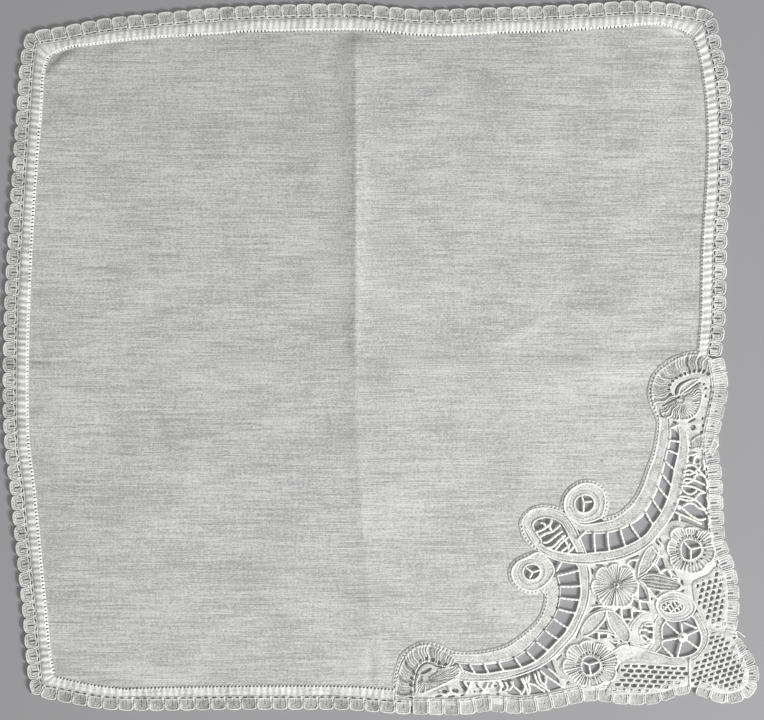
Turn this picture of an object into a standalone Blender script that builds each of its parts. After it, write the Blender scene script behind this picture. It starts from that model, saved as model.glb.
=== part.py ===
# Lace handkerchief, lying flat.
# Fine linen square with a narrow hem, a scalloped bobbin lace edging on three and a half
# sides and a large corner of tape lace let into the linen.
# Metres, +Z up. +X runs to the lace corner's side, -Y towards the lace corner.
# The underside lies at Z = 0 and the origin is under the middle.
import math

import bmesh
import bpy
import mathutils
import numpy as np

for old in list(bpy.data.objects):
    bpy.data.objects.remove(old, do_unlink=True)
for old in list(bpy.data.collections):
    bpy.data.collections.remove(old)

MM = 0.001

# Thickness of each kind of work, millimetres
LINEN_THICK = 1.0
HEM_THICK = 1.5
HEM_WIDTH = 3.5
EDGING_THICK = 1.3
BORDER_THICK = 1.3
MOTIF_THICK = 1.7
TAPE_THICK = 1.5
GROUND_THICK = 1.1
SEAM_GAP = 0.3

# Scalloped edges, millimetres
SCALLOP_PITCH = 5.85
SCALLOP_NOTCH = 0.6
EDGING_WIDTH = 4.5
BORDER_WIDTH = 5.2

# Soft creases left by folding in four, millimetres
CREASE_RISE = 1.2
CREASE_REACH = 15.0
CROSS_RISE = 0.9
CROSS_REACH = 12.0
CREASE_TOP_X = -10.0
CREASE_LOW_X = -3.5
CROSS_Y = -3.0

# Middle of the outline as drawn, taken off every point so the origin is under it
MIDDLE = (0.0, 0.5)

# Linen edges, millimetres: x, y
LEFT_EDGE = [
    (-128.7, -123.4), (-130.0, -110.0), (-131.2, -95.0), (-134.8, -60.0), (-135.7, -50.0),
    (-137.7, -35.0), (-138.5, -20.0), (-138.5, 0.0), (-138.0, 20.0), (-137.0, 40.0),
    (-135.1, 70.0), (-133.0, 100.0), (-132.3, 110.0), (-130.9, 119.9),
]
TOP_EDGE = [
    (-130.9, 119.9), (-120.0, 121.5), (-110.0, 123.5), (-100.0, 125.0), (-80.0, 127.0),
    (-60.0, 128.7), (-40.0, 129.6), (-25.0, 130.0), (-10.0, 130.0), (5.0, 128.7),
    (18.0, 127.7), (35.0, 128.4), (60.0, 129.2), (80.0, 130.2), (95.0, 131.2),
    (105.0, 130.8), (115.0, 129.4), (122.6, 128.2),
]
RIGHT_EDGE = [
    (123.5, -128.5), (123.5, -60.0), (123.9, 0.0), (125.2, 10.0), (125.8, 20.0),
    (126.0, 30.0), (126.5, 50.0), (127.5, 60.0), (128.0, 70.0), (128.3, 80.0),
    (128.2, 90.0), (127.7, 100.0), (126.3, 110.0), (124.0, 120.0), (122.6, 128.2),
]
LOW_EDGE = [
    (-128.7, -123.4), (-122.0, -124.6), (-115.0, -126.0), (-103.0, -127.9), (-85.0, -128.2),
    (-60.0, -127.9), (-30.0, -127.8), (-12.0, -128.0), (5.0, -129.3), (60.0, -129.0),
    (123.5, -128.5),
]

# Line where the linen meets the lace corner, from the right hem to the lower hem: x, y
LACE_LINE = [
    (124.6, 1.2), (120.0, 2.5), (115.0, 1.5), (110.0, -0.5), (106.0, -3.5), (103.5, -7.0),
    (102.3, -11.5), (102.8, -16.0), (104.5, -20.0), (105.7, -24.0), (105.0, -30.0),
    (103.8, -36.0), (101.5, -42.0), (99.0, -49.0), (96.0, -54.0), (92.0, -58.0),
    (87.5, -60.2), (84.3, -60.0), (85.3, -57.0), (85.6, -53.0), (84.5, -49.5), (81.5, -47.2),
    (78.0, -46.5), (74.0, -47.8), (70.7, -50.8), (69.2, -54.5), (68.5, -57.0), (65.0, -56.3),
    (60.0, -56.2), (56.0, -58.0), (53.5, -61.5), (53.8, -65.0), (55.5, -68.5), (58.0, -71.0),
    (59.8, -73.0), (56.0, -74.5), (52.0, -76.5), (49.5, -79.5), (49.5, -83.0), (51.5, -86.0),
    (55.0, -88.0), (58.5, -88.2), (61.9, -86.8), (63.0, -89.5), (62.5, -94.0), (60.5, -98.5),
    (57.0, -102.5), (52.0, -106.5), (47.0, -109.5), (40.0, -111.3), (33.0, -112.0),
    (27.5, -111.6), (24.0, -110.0), (20.0, -108.5), (15.0, -108.3), (11.0, -110.3),
    (8.0, -113.0), (6.3, -117.0), (5.3, -121.0), (5.2, -129.6),
]

# Outer line of the border round the lace corner, at the scallops' tips: x, y
BORDER_RIGHT = [
    (130.2, 1.2), (131.6, -6.0), (132.0, -12.0), (130.9, -18.0), (129.6, -24.0),
    (128.4, -30.0), (128.6, -36.0), (129.5, -42.0), (130.0, -50.0), (130.4, -60.0),
    (131.0, -68.0), (133.0, -74.0), (135.0, -80.0), (136.2, -88.0), (136.2, -96.0),
    (135.0, -103.8),
]
BORDER_LOBE = [
    (135.9, -104.9), (140.0, -110.5), (142.6, -115.0), (143.8, -119.5), (143.3, -123.5),
    (141.0, -127.6), (136.3, -130.2), (130.5, -130.9), (125.5, -129.6), (119.0, -127.2),
]
BORDER_LOW = [
    (117.6, -127.0), (113.0, -127.9), (108.0, -129.9), (103.0, -131.2), (97.0, -131.4),
    (91.0, -131.1), (85.0, -130.2), (80.0, -129.9), (75.0, -130.7), (68.0, -132.4),
    (60.0, -134.0), (53.0, -134.8), (46.0, -134.3), (40.0, -133.9), (34.0, -134.9),
    (26.0, -135.3), (18.0, -135.1), (12.0, -135.1),
]

# Outlines of the lace pieces: x, y
ROSETTE_UPPER = [
    (126.0, 3.0), (115.0, 3.5), (106.0, -1.5), (101.0, -8.0), (101.0, -16.0), (103.5, -20.5),
    (107.0, -22.3), (111.0, -22.6), (115.0, -21.2), (118.0, -20.2), (122.0, -19.8),
    (126.5, -18.5), (128.0, -10.0), (127.0, -2.0),
]
ROSETTE_LOWER = [
    (4.0, -128.2), (4.0, -118.0), (8.0, -110.0), (15.0, -106.0), (22.0, -107.5),
    (26.5, -111.5), (28.6, -116.5), (29.6, -121.0), (26.5, -124.5), (20.5, -126.2),
    (14.5, -128.0), (9.0, -128.4),
]
SCROLL_UPPER = [
    (103.0, -24.0), (103.0, -30.0), (101.5, -36.0), (99.0, -42.5), (96.5, -48.5),
    (93.5, -53.0), (90.0, -56.5), (86.5, -58.5), (83.5, -60.0), (80.0, -61.5), (74.5, -61.5),
    (72.6, -66.0), (73.2, -70.0), (73.6, -75.0), (76.0, -77.9), (81.0, -78.0), (85.0, -77.3),
    (90.0, -76.5), (95.0, -74.8), (100.0, -72.0), (104.0, -68.5), (108.0, -63.5),
    (110.5, -60.0), (112.5, -56.0), (114.0, -51.5), (115.3, -46.0), (116.5, -40.0),
    (116.8, -34.0), (116.3, -28.0), (115.5, -23.5), (113.5, -21.5), (108.0, -21.0),
]
SCROLL_LOWER = [
    (61.0, -86.0), (61.0, -94.0), (59.0, -97.5), (55.5, -101.0), (51.0, -104.5),
    (46.0, -107.5), (40.0, -109.5), (33.0, -110.3), (26.5, -110.3), (27.5, -115.0),
    (28.7, -119.0), (30.5, -121.8), (35.0, -122.6), (40.0, -122.5), (48.0, -121.5),
    (54.0, -119.8), (60.0, -117.3), (65.0, -114.0), (69.0, -110.0), (73.5, -105.0),
    (76.0, -100.0), (78.5, -94.0), (79.5, -89.0), (79.8, -84.0), (79.2, -79.5),
    (77.0, -77.2), (72.0, -75.6), (67.0, -74.4), (60.5, -73.0), (60.0, -78.0),
]
SHELL_LEAF = [
    (52.0, -61.0), (56.0, -56.5), (61.0, -55.0), (68.0, -54.5), (71.0, -58.0), (74.0, -61.5),
    (75.0, -66.0), (74.8, -70.0), (75.1, -74.5), (76.3, -77.5), (70.0, -76.4), (66.0, -75.4),
    (61.5, -73.7), (56.0, -70.5), (52.0, -66.0),
]
SMALL_SCROLL = [
    (96.4, -97.8), (100.0, -96.3), (103.0, -97.4), (103.4, -100.0), (103.6, -104.0),
    (103.4, -108.2), (101.0, -109.6), (97.4, -107.6), (95.6, -103.0),
]
EYE_RING = [
    (102.8, -94.2), (106.8, -90.6), (112.0, -89.0), (117.0, -90.5), (119.4, -94.0),
    (117.6, -95.4), (115.0, -96.8), (111.0, -97.6), (107.0, -97.0),
]
WEB_RING = [
    (104.4, -97.6), (107.4, -96.4), (111.0, -96.8), (115.0, -96.2), (118.6, -94.4),
    (121.0, -98.0), (122.6, -103.0), (123.0, -107.0), (121.6, -112.0), (117.2, -115.2),
    (111.0, -116.2), (105.0, -114.8), (101.0, -112.6), (98.4, -110.4), (101.5, -110.2),
    (104.2, -108.4), (104.2, -103.0),
]
WEB_HOLE = [
    (109.5, -100.4), (114.0, -100.6), (117.3, -98.6), (119.0, -99.4), (120.5, -102.5),
    (121.3, -105.5), (121.0, -108.5), (119.4, -111.0), (117.0, -112.3), (113.5, -113.0),
    (110.0, -113.0), (107.0, -112.0), (105.2, -111.0), (106.8, -109.0), (107.3, -107.0),
    (107.0, -104.0), (107.3, -101.4),
]
NET_RIGHT = [
    (119.5, -84.0), (124.0, -81.6), (127.5, -79.6), (131.5, -82.0), (132.5, -90.0),
    (132.5, -98.0), (131.0, -104.0), (127.0, -104.5), (123.4, -102.0), (121.0, -97.0),
    (119.6, -94.6), (119.2, -90.0),
]
NET_LOW = [
    (88.5, -127.5), (90.3, -121.5), (92.6, -116.2), (96.0, -113.3), (101.0, -113.6),
    (105.0, -114.6), (110.5, -115.4), (117.0, -114.4), (117.8, -120.0), (117.6, -125.0),
    (113.0, -127.0), (100.0, -128.5),
]
NET_CORNER = [
    (116.0, -114.6), (120.6, -112.0), (121.6, -107.0), (121.5, -100.0), (134.0, -103.5),
    (139.0, -112.0), (141.0, -120.0), (137.0, -127.0), (130.0, -128.5), (122.0, -127.0),
    (116.0, -123.5),
]
FILLING_RIGHT = [
    (117.2, -36.0), (117.2, -30.0), (116.8, -21.5), (122.0, -20.4), (127.5, -18.8),
    (126.5, -30.0), (126.5, -45.0), (128.5, -69.0), (121.0, -66.0), (114.0, -63.5),
    (109.0, -64.0), (111.5, -59.5), (114.0, -53.5), (115.8, -46.0),
]
FILLING_LOW = [
    (31.0, -122.6), (40.0, -123.0), (48.5, -122.0), (54.5, -120.2), (60.5, -117.7),
    (65.5, -114.3), (69.0, -111.0), (73.5, -118.0), (76.0, -124.0), (78.0, -129.0),
    (58.0, -131.0), (40.0, -131.0), (20.0, -131.5), (12.4, -131.5), (12.4, -129.2),
    (21.0, -126.8), (27.0, -124.9),
]
BAR_GROUND = [
    (79.0, -76.0), (90.0, -75.0), (100.0, -70.5), (108.0, -62.0), (113.0, -62.0),
    (122.0, -63.0), (128.0, -64.0), (129.0, -70.0), (128.0, -80.0), (120.5, -83.5),
    (119.5, -90.0), (119.0, -98.0), (104.0, -114.5), (97.0, -116.0), (90.0, -121.0),
    (88.0, -128.0), (76.5, -128.0), (68.5, -111.5), (74.0, -99.0), (77.0, -84.0),
]

# Petalled flowers: name, centre x, centre y, reach, petals, first petal's bearing, hole reach
FLOWERS = [
    ("flower_middle", 89.3, -86.4, 8.9, 6, 60.0, 0.0),
    ("flower_side", 118.0, -72.0, 9.4, 6, 20.0, 3.9),
    ("flower_low", 79.7, -116.6, 9.6, 6, 35.0, 3.5),
]

# Leaves: name, then their outline x, y
LEAVES = [
    ("leaf_up", [
        (98.4, -82.0), (98.8, -77.0), (100.6, -73.2), (103.3, -71.4), (105.6, -73.0),
        (104.4, -76.8), (101.6, -80.8)]),
    ("leaf_out", [
        (98.8, -83.9), (102.0, -82.2), (107.0, -82.6), (111.0, -84.1), (112.4, -85.5),
        (111.0, -86.9), (106.0, -87.4), (101.0, -86.2)]),
    ("leaf_in", [
        (85.2, -96.0), (80.6, -97.0), (77.4, -101.0), (76.8, -104.4), (79.6, -103.9),
        (82.6, -101.2), (85.0, -98.4)]),
    ("leaf_down", [
        (86.4, -95.4), (89.6, -97.0), (92.6, -101.0), (94.2, -105.0), (92.0, -106.4),
        (89.2, -104.6), (86.9, -101.0), (86.1, -98.0)]),
]

# Tight spirals at the scrolls' inner ends: name, centre x, centre y, reach, hole reach
SPIRALS = [
    ("spiral_upper", 77.3, -54.8, 9.0, 3.3),
    ("spiral_lower", 57.4, -80.9, 9.0, 3.1),
]

# Gaps between the bars of the upper scroll: x, y
LADDER_UPPER = [
    [(76.5, -68.0), (77.8, -65.9), (80.1, -66.0), (80.5, -73.2), (78.4, -73.2)],
    [(81.6, -66.0), (85.2, -66.0), (85.9, -72.2), (82.2, -72.9)],
    [(86.7, -65.8), (90.2, -65.1), (92.0, -71.0), (90.0, -72.2), (87.3, -72.2)],
    [(91.5, -64.6), (94.0, -63.4), (97.4, -68.5), (95.4, -70.1), (93.5, -70.1)],
    [(95.4, -62.2), (98.9, -60.2), (102.0, -64.0), (99.5, -67.5)],
    [(100.4, -58.2), (101.8, -56.2), (105.1, -59.8), (103.1, -62.4)],
    [(102.6, -54.6), (104.5, -51.4), (107.9, -54.4), (106.0, -58.4)],
    [(104.8, -49.4), (106.1, -46.7), (109.9, -49.3), (108.8, -52.3)],
    [(106.3, -44.4), (107.7, -41.4), (111.1, -43.1), (110.2, -46.9)],
    [(107.8, -39.1), (108.8, -36.1), (112.4, -37.1), (111.4, -40.8)],
    [(109.1, -34.1), (110.0, -31.9), (113.1, -32.3), (112.8, -34.9)],
    [(110.3, -29.8), (111.0, -26.5), (113.2, -29.8)],
]

# Gaps between the bars of the lower scroll: x, y
LADDER_LOWER = [
    [(65.6, -77.3), (67.9, -78.0), (67.2, -79.6)],
    [(69.0, -78.1), (74.4, -78.6), (74.7, -79.6), (68.0, -81.2)],
    [(68.1, -83.0), (75.0, -81.4), (75.6, -84.8), (68.3, -85.4)],
    [(68.3, -87.0), (75.5, -86.8), (75.4, -90.2), (68.3, -90.0)],
    [(68.0, -91.2), (74.6, -92.0), (74.0, -95.2), (67.5, -93.9)],
    [(67.6, -95.6), (73.0, -97.2), (71.0, -100.5), (66.4, -97.6)],
    [(65.1, -99.8), (70.0, -102.9), (68.0, -105.3), (63.0, -102.1)],
    [(62.2, -103.8), (66.7, -107.0), (64.0, -109.6), (59.8, -106.3)],
    [(58.6, -108.3), (62.5, -111.2), (59.0, -113.6), (56.2, -110.3)],
    [(54.4, -111.7), (57.8, -114.7), (54.5, -115.9), (51.4, -113.4)],
    [(49.5, -114.1), (51.8, -116.9), (47.5, -117.9), (46.0, -115.2)],
    [(43.4, -115.8), (45.4, -117.8), (41.1, -118.9), (40.3, -116.5)],
    [(38.6, -116.3), (39.4, -118.9), (36.5, -118.9), (34.9, -116.5)],
    [(33.2, -117.1), (34.3, -118.7), (31.8, -118.1), (30.9, -116.9)],
]

# Gaps among the shell leaf's bars, from one end to the other: x1, y1, x2, y2, width
SHELL_SLOTS = [
    (60.6, -62.6, 61.0, -64.4, 1.8), (65.8, -62.4, 66.3, -64.8, 1.9),
    (61.8, -66.0, 63.2, -65.2, 1.7), (62.9, -68.8, 66.9, -66.2, 1.2),
    (64.1, -70.8, 67.9, -67.8, 1.2), (66.9, -72.2, 69.6, -69.9, 1.3),
    (69.9, -73.0, 72.0, -71.5, 1.3), (70.4, -66.8, 72.2, -69.2, 1.0),
]

# Gaps of the plaited fillings: x1, y1, x2, y2, width
FILLING_RIGHT_SLOTS = [
    (117.9, -37.1, 118.0, -38.5, 1.7), (120.4, -37.9, 120.4, -39.5, 1.7),
    (116.9, -41.4, 119.0, -41.2, 1.2), (120.6, -42.3, 121.9, -42.1, 1.4),
    (117.0, -44.4, 119.2, -44.4, 1.3), (120.8, -45.3, 122.4, -45.3, 1.9),
    (117.7, -47.4, 120.4, -47.2, 1.3), (116.2, -49.7, 119.0, -49.7, 2.2),
    (117.9, -51.9, 121.2, -51.7, 1.1), (121.9, -53.5, 122.6, -54.8, 1.9),
    (114.4, -54.6, 118.4, -54.4, 1.2), (115.4, -56.6, 121.8, -59.4, 2.3),
    (113.0, -58.9, 118.2, -61.2, 1.3), (119.2, -21.9, 120.8, -21.9, 1.0),
    (119.0, -24.2, 121.0, -24.4, 1.2), (122.6, -26.4, 123.6, -25.2, 1.1),
]
FILLING_LOW_SLOTS = [
    (47.2, -123.4, 47.4, -124.6, 1.3), (51.8, -122.7, 51.9, -124.1, 1.9),
    (49.6, -126.4, 51.2, -126.2, 1.5), (54.0, -126.4, 55.0, -126.4, 1.6),
    (57.7, -120.9, 57.9, -122.9, 1.8), (57.9, -125.2, 58.3, -126.1, 2.2),
    (61.1, -119.3, 61.5, -122.3, 1.1), (63.6, -122.6, 66.8, -125.0, 1.9),
    (63.2, -119.0, 67.4, -121.8, 1.1), (66.6, -118.2, 68.2, -120.0, 1.4),
    (70.2, -122.4, 70.6, -123.8, 1.6), (24.9, -127.2, 27.5, -127.0, 1.4),
    (31.2, -124.2, 32.2, -126.2, 1.6), (36.2, -124.4, 38.4, -125.6, 1.3),
    (42.8, -124.4, 44.2, -124.4, 1.3),
]

# Gaps between the bars that join the motifs: x, y
BAR_GAPS = [
    [(85.6, -99.4), (86.0, -102.3), (83.0, -102.3)],
    [(79.4, -105.4), (81.8, -104.0), (82.1, -106.3)],
    [(83.2, -104.4), (86.0, -104.6), (85.5, -106.0), (83.2, -106.0)],
    [(86.5, -106.9), (90.0, -107.8), (89.2, -109.3)],
    [(93.6, -95.2), (95.0, -95.2), (95.0, -98.0), (92.6, -98.0), (92.2, -96.2)],
    [(94.0, -99.4), (95.0, -99.5), (94.6, -102.0)],
    [(96.3, -91.6), (97.8, -93.0), (97.4, -94.5), (95.2, -93.8)],
    [(99.0, -92.4), (101.0, -92.6), (102.0, -95.0), (99.6, -95.0)],
    [(98.9, -86.9), (100.0, -88.0), (101.0, -91.0), (98.8, -91.0)],
    [(102.2, -88.2), (106.0, -88.6), (103.6, -90.4)],
    [(94.4, -77.8), (95.5, -76.6), (97.0, -76.8), (96.4, -79.2)],
    [(106.4, -77.0), (107.4, -77.0), (107.8, -79.0), (106.3, -80.0), (105.2, -78.6)],
    [(103.0, -80.6), (105.0, -79.8), (106.2, -81.5), (103.4, -81.6)],
    [(107.4, -80.9), (108.8, -80.4), (110.0, -82.9), (108.0, -82.2)],
    [(110.4, -81.0), (111.4, -81.2), (112.4, -82.9)],
    [(113.7, -83.4), (114.9, -84.2), (115.0, -86.0), (113.8, -85.2)],
    [(104.4, -69.6), (106.0, -67.8), (106.6, -69.2), (105.6, -70.4)],
    [(79.9, -80.6), (80.7, -81.2), (80.5, -82.4)],
    [(79.8, -94.6), (82.6, -93.9), (84.2, -94.7), (81.5, -95.6)],
]

# Legs across the web ring from its hub, and cords across its corners: x1, y1, x2, y2, width
WEB_LEGS = [
    (114.7, -105.5, 106.5, -98.9, 0.9), (114.7, -105.5, 114.0, -99.2, 0.9),
    (114.7, -105.5, 121.8, -102.2, 0.9), (114.7, -105.5, 121.4, -110.6, 0.9),
    (114.7, -105.5, 112.4, -114.2, 0.9), (114.7, -105.5, 106.0, -107.0, 0.9),
    (114.0, -99.4, 121.4, -102.8, 0.9), (105.9, -108.0, 111.6, -113.8, 0.9),
]
WEB_HUB = (114.7, -105.5, 1.7)


def pairs(points):
    """Points as an array with the middle of the outline taken off."""
    return np.array(points, dtype=float) - np.array(MIDDLE)


def smooth(points, steps, closed=True):
    """Even rounded line through the points, each span cut into equal steps."""
    p = np.array(points, dtype=float)
    count = len(p)
    out = []
    spans = count if closed else count - 1
    for i in range(spans):
        if closed:
            a, b, c, d = p[i - 1], p[i], p[(i + 1) % count], p[(i + 2) % count]
        else:
            a, b, c, d = p[max(i - 1, 0)], p[i], p[i + 1], p[min(i + 2, count - 1)]
        for k in range(steps):
            t = k / steps
            out.append(0.5 * (2 * b + (c - a) * t + (2 * a - 5 * b + 4 * c - d) * t * t
                              + (3 * b - a - 3 * c + d) * t ** 3))
    if not closed:
        out.append(p[-1])
    return np.array(out)


def along(line, distances):
    """Points at the given distances along an open line."""
    steps = np.hypot(*np.diff(line, axis=0).T)
    run = np.concatenate([[0.0], np.cumsum(steps)])
    return np.column_stack([np.interp(distances, run, line[:, k]) for k in (0, 1)])


def length_of(line):
    return float(np.hypot(*np.diff(line, axis=0).T).sum())


def sideways(line, window):
    """Unit vector to the left of an open line, read across a window of its length."""
    total = length_of(line)
    steps = np.hypot(*np.diff(line, axis=0).T)
    run = np.concatenate([[0.0], np.cumsum(steps)])
    ahead = along(line, np.clip(run + window, 0.0, total))
    behind = along(line, np.clip(run - window, 0.0, total))
    tangent = ahead - behind
    tangent /= np.hypot(*tangent.T)[:, None]
    return np.column_stack([-tangent[:, 1], tangent[:, 0]])


def turn(points):
    """Signed area: positive where the outline runs anticlockwise."""
    x, y = points[:, 0], points[:, 1]
    return 0.5 * float(np.sum(x * np.roll(y, -1) - np.roll(x, -1) * y))


def grow(points, distance):
    """The outline moved outwards by a distance, with mitred corners."""
    p = np.array(points, dtype=float)
    if turn(p) < 0:
        p = p[::-1]
    ahead = np.roll(p, -1, axis=0) - p
    ahead /= np.hypot(*ahead.T)[:, None]
    before = np.roll(ahead, 1, axis=0)
    normal = np.column_stack([ahead[:, 1] + before[:, 1], -ahead[:, 0] - before[:, 0]])
    size = np.maximum(np.hypot(*normal.T), 0.8)
    return p + normal * (2.0 / size ** 2)[:, None] * distance


def slot_outline(x1, y1, x2, y2, width):
    """Long hole with cut-off ends, from one point to another."""
    a = pairs([(x1, y1)])[0]
    b = pairs([(x2, y2)])[0]
    t = (b - a) / max(np.hypot(*(b - a)), 0.001)
    n = np.array([-t[1], t[0]])
    h = width / 2.0
    return np.array([a - t * h + n * h * 0.4, a - t * h - n * h * 0.4, a - n * h, b - n * h,
                     b + t * h - n * h * 0.4, b + t * h + n * h * 0.4, b + n * h, a + n * h])


def wedge_outlines(x, y, reach, bearing, bar):
    """Three gaps between three bars that cross a round hole."""
    centre = pairs([(x, y)])[0]
    out = []
    for leg in range(3):
        low = math.radians(bearing + 120.0 * leg)
        high = low + math.radians(120.0)
        inset = math.asin(min(0.9, bar / 2.0 / reach))
        middle = 0.5 * (low + high)
        tip = centre + bar / 2.0 / math.sin(math.radians(60.0)) * np.array(
            [math.cos(middle), math.sin(middle)])
        arc = np.linspace(low + inset, high - inset, 5)
        out.append(np.vstack([tip, centre + reach * np.column_stack([np.cos(arc), np.sin(arc)])]))
    return out


def petal_outline(x, y, reach, petals, bearing):
    """Rounded petals in a ring, five points to a petal."""
    centre = pairs([(x, y)])[0]
    out = []
    for k in range(petals):
        for part, share in ((0.0, 0.8), (0.16, 0.94), (0.38, 1.0), (0.62, 1.0), (0.84, 0.94)):
            angle = math.radians(bearing + 360.0 / petals * (k + part - 0.5))
            out.append(centre + reach * share * np.array([math.cos(angle), math.sin(angle)]))
    return np.array(out)


def scalloped(line, pitch, notch):
    """Row of rounded scallops on a line: tips stand to its left, notches to its right."""
    total = length_of(line)
    count = max(1, round(total / pitch))
    normals = sideways(line, 1.5)
    steps = np.hypot(*np.diff(line, axis=0).T)
    run = np.concatenate([[0.0], np.cumsum(steps)])
    out = []
    for k in range(count):
        for part, depth in ((0.0, -1.0), (0.14, 0.2), (0.36, 1.0), (0.64, 1.0), (0.86, 0.2)):
            s = total * (k + part) / count
            n = np.array([np.interp(s, run, normals[:, 0]), np.interp(s, run, normals[:, 1])])
            out.append(along(line, [s])[0] + n * depth * notch)
    out.append(line[-1] - normals[-1] * notch)
    return np.array(out)


def add(name, mesh, collection):
    made = bpy.data.objects.new(name, mesh)
    collection.objects.link(made)
    return made


def plate(name, outline, low, high, gaps=()):
    """Flat cut-out of even thickness, with its gaps, from a filled curve."""
    curve = bpy.data.curves.new(name + "_curve", "CURVE")
    curve.dimensions = "2D"
    curve.fill_mode = "BOTH"
    curve.extrude = (high - low) / 2.0 * MM
    for points in [outline] + list(gaps):
        spline = curve.splines.new("POLY")
        spline.points.add(len(points) - 1)
        for k, point in enumerate(points):
            spline.points[k].co = (point[0] * MM, point[1] * MM, 0.0, 1.0)
        spline.use_cyclic_u = True
    holder = bpy.data.objects.new(name + "_curve", curve)
    scratch.objects.link(holder)
    bpy.context.view_layer.update()
    graph = bpy.context.evaluated_depsgraph_get()
    mesh = bpy.data.meshes.new_from_object(holder.evaluated_get(graph))
    mesh.name = name
    bpy.data.objects.remove(holder, do_unlink=True)
    bpy.data.curves.remove(curve)
    work = bmesh.new()
    work.from_mesh(mesh)
    bmesh.ops.translate(work, verts=work.verts, vec=(0.0, 0.0, (low + high) / 2.0 * MM))
    bmesh.ops.remove_doubles(work, verts=work.verts, dist=0.00001)
    bmesh.ops.recalc_face_normals(work, faces=work.faces)
    work.to_mesh(mesh)
    work.free()
    return add(name, mesh, scratch)


def boolean(target, other, operation):
    """Joins or cuts one solid with another, which is then removed."""
    step = target.modifiers.new(operation.lower(), "BOOLEAN")
    step.operation = operation
    step.solver = "EXACT"
    step.object = other
    bpy.context.view_layer.update()
    graph = bpy.context.evaluated_depsgraph_get()
    mesh = bpy.data.meshes.new_from_object(target.evaluated_get(graph))
    target.modifiers.clear()
    old = target.data
    target.data = mesh
    mesh.name = target.name
    bpy.data.meshes.remove(old)
    bpy.data.objects.remove(other, do_unlink=True)


def loose_parts(mesh):
    """Face lists of the separate bodies in a mesh, largest plan area first."""
    work = bmesh.new()
    work.from_mesh(mesh)
    work.faces.ensure_lookup_table()
    seen = set()
    parts = []
    for face in work.faces:
        if face.index in seen:
            continue
        group = []
        todo = [face]
        seen.add(face.index)
        while todo:
            here = todo.pop()
            group.append(here)
            for edge in here.edges:
                for near in edge.link_faces:
                    if near.index not in seen:
                        seen.add(near.index)
                        todo.append(near)
        area = sum(f.calc_area() * max(f.normal.z, 0.0) for f in group)
        parts.append((area / MM ** 2, [f.index for f in group]))
    work.free()
    parts.sort(key=lambda part: -part[0])
    return parts


def only(mesh, wanted):
    """Copy of a mesh that keeps the wanted faces."""
    work = bmesh.new()
    work.from_mesh(mesh)
    work.faces.ensure_lookup_table()
    keep = set(wanted)
    drop = [f for f in work.faces if f.index not in keep]
    bmesh.ops.delete(work, geom=drop, context="FACES")
    bmesh.ops.remove_doubles(work, verts=work.verts, dist=0.00001)
    bmesh.ops.dissolve_limit(work, angle_limit=0.0005, verts=work.verts, edges=work.edges)
    bmesh.ops.recalc_face_normals(work, faces=work.faces)
    made = bpy.data.meshes.new(mesh.name)
    work.to_mesh(made)
    work.free()
    return made


def finish(made, colour):
    """Moves a finished piece into the object's collection with its own material."""
    parts = loose_parts(made.data)
    made.data = only(made.data, parts[0][1])
    made.data.name = made.name
    skin = bpy.data.materials.new(made.name)
    skin.use_nodes = True
    shader = skin.node_tree.nodes["Principled BSDF"]
    shader.inputs["Base Color"].default_value = (colour[0], colour[1], colour[2], 1.0)
    shader.inputs["Roughness"].default_value = 0.9
    made.data.materials.clear()
    made.data.materials.append(skin)
    scratch.objects.unlink(made)
    body.objects.link(made)


body = bpy.data.collections.new("lace_handkerchief")
cutters = bpy.data.collections.new("cutters")
scratch = bpy.data.collections.new("scratch")
for group in (body, cutters, scratch):
    bpy.context.scene.collection.children.link(group)

LINEN_COLOUR = (0.56, 0.56, 0.55)
LACE_COLOUR = (0.82, 0.82, 0.80)

# Linen square: a sheet laid between its four edge lines, with its hem and its creases
left = smooth(pairs(LEFT_EDGE), 4, closed=False)
top = smooth(pairs(TOP_EDGE), 4, closed=False)
right = smooth(pairs(RIGHT_EDGE), 4, closed=False)
low = smooth(pairs(LOW_EDGE), 4, closed=False)


def edge_point(line, share):
    return along(line, [share * length_of(line)])[0]


def sheet_point(u, v):
    """Point of the sheet: u runs from its left edge, v from its lower edge, both 0 to 1."""
    a, b = edge_point(low, u), edge_point(top, u)
    c, d = edge_point(left, v), edge_point(right, v)
    corners = ((1 - u) * (1 - v) * low[0] + u * (1 - v) * low[-1]
               + (1 - u) * v * top[0] + u * v * top[-1])
    return (1 - v) * a + v * b + (1 - u) * c + u * d - corners


def rise(point, clear):
    """Height of the sheet's underside over a crease, dying out towards the hems."""
    x, y = point[0] + MIDDLE[0], point[1] + MIDDLE[1]
    share = min(max((y + 125.0) / 250.0, 0.0), 1.0)
    line_x = CREASE_LOW_X + (CREASE_TOP_X - CREASE_LOW_X) * share
    fade = min(1.0, max(0.0, (clear - 5.0) / 25.0))
    upright = max(0.0, 1.0 - abs(x - line_x) / CREASE_REACH) ** 1.5 * CREASE_RISE
    spread = min(1.0, max(0.0, (105.0 - x) / 30.0)) * min(1.0, max(0.0, (x + 110.0) / 60.0))
    cross = max(0.0, 1.0 - abs(y - CROSS_Y) / CROSS_REACH) ** 1.5 * CROSS_RISE * spread
    return max(upright, cross) * fade


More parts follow.
